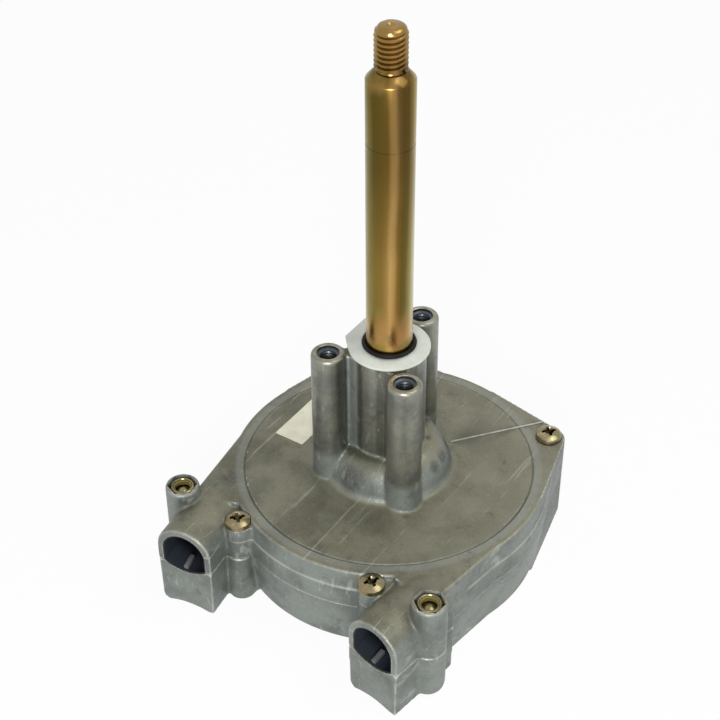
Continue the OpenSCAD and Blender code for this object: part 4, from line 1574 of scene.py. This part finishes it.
@dataclass
class Trim:
    """Washer, O-ring, cable guides and the blank label."""

    castings: Castings
    washer_r: float = 17.1
    shaft_r: float = 9.525
    cord_r: float = 0.93
    label_low: Point2 = (-52.45, -11.5)
    label_high: Point2 = (-37.95, 24.0)
    label_corner: float = 0.6

    def washer(self) -> bpy.types.Object:
        """Builds the nylon tower washer with its square tab.

        Returns:
            The finished object.
        """
        top = self.castings.tower_top
        rim = arc((0, 0), self.washer_r, -136, 107, 90)
        outline = [*rim, (-18.2, 15.0), (-18.2, -5.2)]
        plate = Shape.prism(outline, top, top + 1.2).rounded(0.22, 2, 40)
        hole = Shape.rod(9.875, Vector((0, 0, top - 5)), Vector((0, 0, top + 5)), steps=96)
        return Build("tab_washer", plate).cut(hole).finish(40)

    def o_ring(self) -> bpy.types.Object:
        """Builds the rubber ring on the shaft.

        Returns:
            The finished object.
        """
        centre = (self.shaft_r + self.cord_r, self.castings.tower_top + 2.43)
        section = arc(centre, self.cord_r, 0, 345, 23)
        return Build("rubber_ring", Shape.turned(section, 96, closed=True)).finish(80)

    def guide(self, side: Side) -> bpy.types.Object:
        """Builds one dark cable guide inside its socket; its bowl also covers the socket's saddle as
        a dark sheet that stands in for shade there.

        Args:
            side: Which outlet.

        Returns:
            The finished object.
        """
        cast = self.castings
        front, back = -cast.reach + 0.35, cast.socket_end - 1
        liner = cast.on_outlet(Shape.along(cast.throat(0.15), front, back), side)
        inside = Shape.along(cast.throat(0.75), front - 5, back - 2)
        way = Shape.rod(cast.passage_r, Vector((cast.path, front, cast.socket_z)),
                        Vector((cast.path, back + 5, cast.socket_z)))
        bolt = cast.bar(3.6, cast.nut, 10, 60)
        piece = Build(f"cable_liner_{side.name.lower()}", liner)
        return piece.cut(*(cast.on_outlet(shape, side) for shape in (inside, way, bolt))).finish(35)

    def tongue(self, side: Side) -> bpy.types.Object:
        """Builds the rail on the floor of one cable guide.

        Args:
            side: Which outlet.

        Returns:
            The finished object.
        """
        cast = self.castings
        bar = Shape.block(Vector((-1.0, -3.2, -1.1)), Vector((1.0, 3.2, 1.1))).rounded(0.35, 2)
        bar.move(Matrix.Rotation(math.radians(14), 4, "X"))
        bar.at(cast.path, -73.3, 23.4)
        return Build(f"guide_bar_{side.name.lower()}", cast.on_outlet(bar, side)).finish(35)

    def label(self) -> bpy.types.Object:
        """Builds the blank label, a film with small round corners.

        Returns:
            The finished object.
        """
        r = self.label_corner
        (left, low), (right, high) = self.label_low, self.label_high
        middles = ((right - r, high - r), (left + r, high - r),
                   (left + r, low + r), (right - r, low + r))
        outline: list[Point2] = []
        for quarter, middle in enumerate(middles):
            outline += arc(middle, r, 90 * quarter, 90 * quarter + 90, 5)
        return Build("blank_film", Shape.prism(outline, 42.42, 42.68)).finish(40)


@dataclass
class Studio:
    """Camera, lights, world and the pale floor."""

    target: Point2 = (264.05, -415.17)
    height: float = 480.68
    plan_angle: float = 33.86
    pitch: float = 37.84
    roll: float = -0.5
    lens: float = 75.35
    aim: tuple[float, float, float] = (0.0, 0.0, 0.06)
    lamps: tuple[tuple[str, tuple[float, float, float], float, float], ...] = (
        ("key", (0.5, -0.95, 0.62), 0.4, 10.8), ("top", (0.6, 0.25, 1.15), 0.7, 4.5),
    )
    sky: Colour = (0.95, 0.97, 1.0)
    sky_strength: float = 0.4
    floor_half: float = 6000.0
    floor_glow: float = 0.94

    def camera(self) -> None:
        """Places the camera at the photograph's viewing angle."""
        data = bpy.data.cameras.new("camera")
        data.lens = self.lens
        data.sensor_width = 36
        data.clip_start, data.clip_end = 0.01, 50
        item = bpy.data.objects.new("camera", data)
        bpy.context.scene.collection.objects.link(item)
        plan, pitch, roll = (math.radians(v) for v in (self.plan_angle, self.pitch, self.roll))
        right = Vector((math.cos(plan), math.sin(plan), 0))
        ahead = Vector((-math.sin(plan) * math.cos(pitch), math.cos(plan) * math.cos(pitch),
                        -math.sin(pitch)))
        up = right.cross(ahead)
        level = math.cos(roll) * right + math.sin(roll) * up
        upright = math.cos(roll) * up - math.sin(roll) * right
        turn = Matrix((level, upright, -ahead)).transposed().to_4x4()
        place = Matrix.Translation(Vector((*self.target, self.height)) * MM)
        item.matrix_world = place @ turn
        bpy.context.scene.camera = item

    def lamp(self, name: str, spot: Vector, size: float, power: float) -> None:
        """Adds one square soft light that points at the helm.

        Args:
            name: Name of the light.
            spot: Place of the light in metres.
            size: Side of its square in metres.
            power: Power in watts.
        """
        data = bpy.data.lights.new(name, "AREA")
        data.shape = "SQUARE"
        data.size = size
        data.energy = power
        item = bpy.data.objects.new(name, data)
        item.location = spot
        item.rotation_mode = "QUATERNION"
        item.rotation_quaternion = (Vector(self.aim) - spot).to_track_quat("-Z", "Y")
        bpy.context.scene.collection.objects.link(item)

    def world(self) -> None:
        """White to the camera and in reflections, softer as a light."""
        world = bpy.data.worlds.new("studio")
        world.use_nodes = True
        bpy.context.scene.world = world
        nodes = Nodes(world.node_tree, "ShaderNodeOutputWorld")
        camera, glossy, through = (
            nodes.node("ShaderNodeLightPath", out=ray)
            for ray in ("Is Camera Ray", "Is Glossy Ray", "Is Transmission Ray")
        )
        soft, white = (
            nodes.node("ShaderNodeBackground", None, {"Color": colour, "Strength": strength})
            for colour, strength in ((self.sky, self.sky_strength), ((1.0, 1.0, 1.0), 1.0))
        )
        seen = camera.most(glossy).most(through)
        nodes.show(nodes.node("ShaderNodeMixShader", None, {0: seen, 1: soft, 2: white}))

    def floor(self) -> None:
        """Plain white floor under the flat rear face."""
        shape = Shape()
        bmesh.ops.create_grid(shape.bm, x_segments=1, y_segments=1, size=self.floor_half)
        floor = Build("floor", shape).finish()
        paint = Paint("white_floor")
        path = paint.node("ShaderNodeLightPath", out="Is Camera Ray")
        glossy = paint.node("ShaderNodeLightPath", out="Is Glossy Ray")
        glow = paint.node("ShaderNodeEmission", None, {"Color": (1.0, 1.0, 1.0), "Strength": 1.0})
        lit = Wire(paint, paint.shader.outputs[0])
        share = (path + glossy) * self.floor_glow
        paint.show(paint.node("ShaderNodeMixShader", None, {0: share, 1: lit, 2: glow}))
        floor.data.materials.append(paint.done(Base_Color=(0.86, 0.86, 0.86), Roughness=0.9))

    def build(self) -> None:
        """Sets the whole studio."""
        self.camera()
        self.world()
        self.floor()
        for name, spot, size, power in self.lamps:
            self.lamp(name, Vector(spot), size, power)
        bpy.context.scene.view_settings.view_transform = "Standard"


class Helm:
    """Puts the pieces on their bodies and dresses the solids that stay."""

    def __init__(self) -> None:
        """Makes the finishes from the positions of the castings and screws."""
        self.castings = Castings()
        self.fasteners = Fasteners(self.castings)
        self.finishes = Finishes(self.castings, self.fasteners.recesses())

    def place(self, piece: bpy.types.Object, material: bpy.types.Material, body: str,
              slot: str, *nodes: str) -> bpy.types.Object:
        """Dresses a piece, ties it to its body and hides the solids it stands for.

        Args:
            piece: The finished object.
            material: Its finish.
            body: The body that it rides on.
            slot: Its material slot in the record; not used.
            nodes: The solids that it stands for.

        Returns:
            The same object.
        """
        piece.data.materials.clear()
        piece.data.materials.append(material)
        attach(piece, body)
        if nodes:
            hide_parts(*nodes)
        LOG.info("placed %s on %s", piece.name, body)
        return piece

    def build(self) -> None:
        """Builds every piece."""
        look, cast = self.finishes, self.castings
        self.place(cast.cover(), look.cast, "housing", "cast_aluminium", "front_cover")
        self.place(cast.housing(), look.cast, "housing", "cast_aluminium", "rear_housing")
        self.place(Shaft().build(), look.shaft, "shaft", "zinc_steel", "steering_shaft")
        fast = self.fasteners
        self.place(fast.screws(), look.zinc, "housing", "zinc_steel", "cover_screws")
        self.place(fast.bolts(), look.zinc, "housing", "zinc_steel", "clamp_bolts")
        self.place(fast.nuts(), look.zinc, "housing", "zinc_steel", "clamp_nuts")
        self.place(fast.rings(), look.insert, "housing", "green_nylon", "nut_rings")
        trim = Trim(cast)
        self.place(trim.washer(), look.nylon, "housing", "white_nylon", "tower_washer")
        self.place(trim.o_ring(), look.rubber, "shaft", "black_rubber", "shaft_o_ring")
        self.place(trim.label(), look.film, "housing", "label_film", "blank_label")
        for side in Side:
            node = f"cable_guide_{side.name.lower()}"
            self.place(trim.guide(side), look.guide, "housing", "dark_plastic", node)
            self.place(trim.tongue(side), look.tongue, "housing", "dark_plastic")
        self.dress_solids()

    def dress_solids(self) -> None:
        """Gives each solid that stays the finish of its material slot."""
        look = self.finishes
        finish = {
            "cast_aluminium": look.cast, "zinc_steel": look.zinc,
            "white_nylon": look.nylon, "green_nylon": look.insert, "black_rubber": look.rubber,
            "dark_plastic": look.guide, "label_film": look.film, "gear_steel": look.steel,
            "bronze": look.bronze, "spring_steel": look.dark_steel, "wheel_alloy": look.alloy,
        }
        slots = {row["node"]: row["material_slot"] for row in frame["record"]["subparts"]}
        for name, item in frame["nodes"].items():
            for slot in item.material_slots:
                slot.material = finish[slots[name]]


def main() -> None:
    """Builds the scene."""
    logging.basicConfig(level=logging.INFO, format="%(message)s")
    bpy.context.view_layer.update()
    Studio().build()
    Helm().build()


if __name__ == "__main__":
    main()
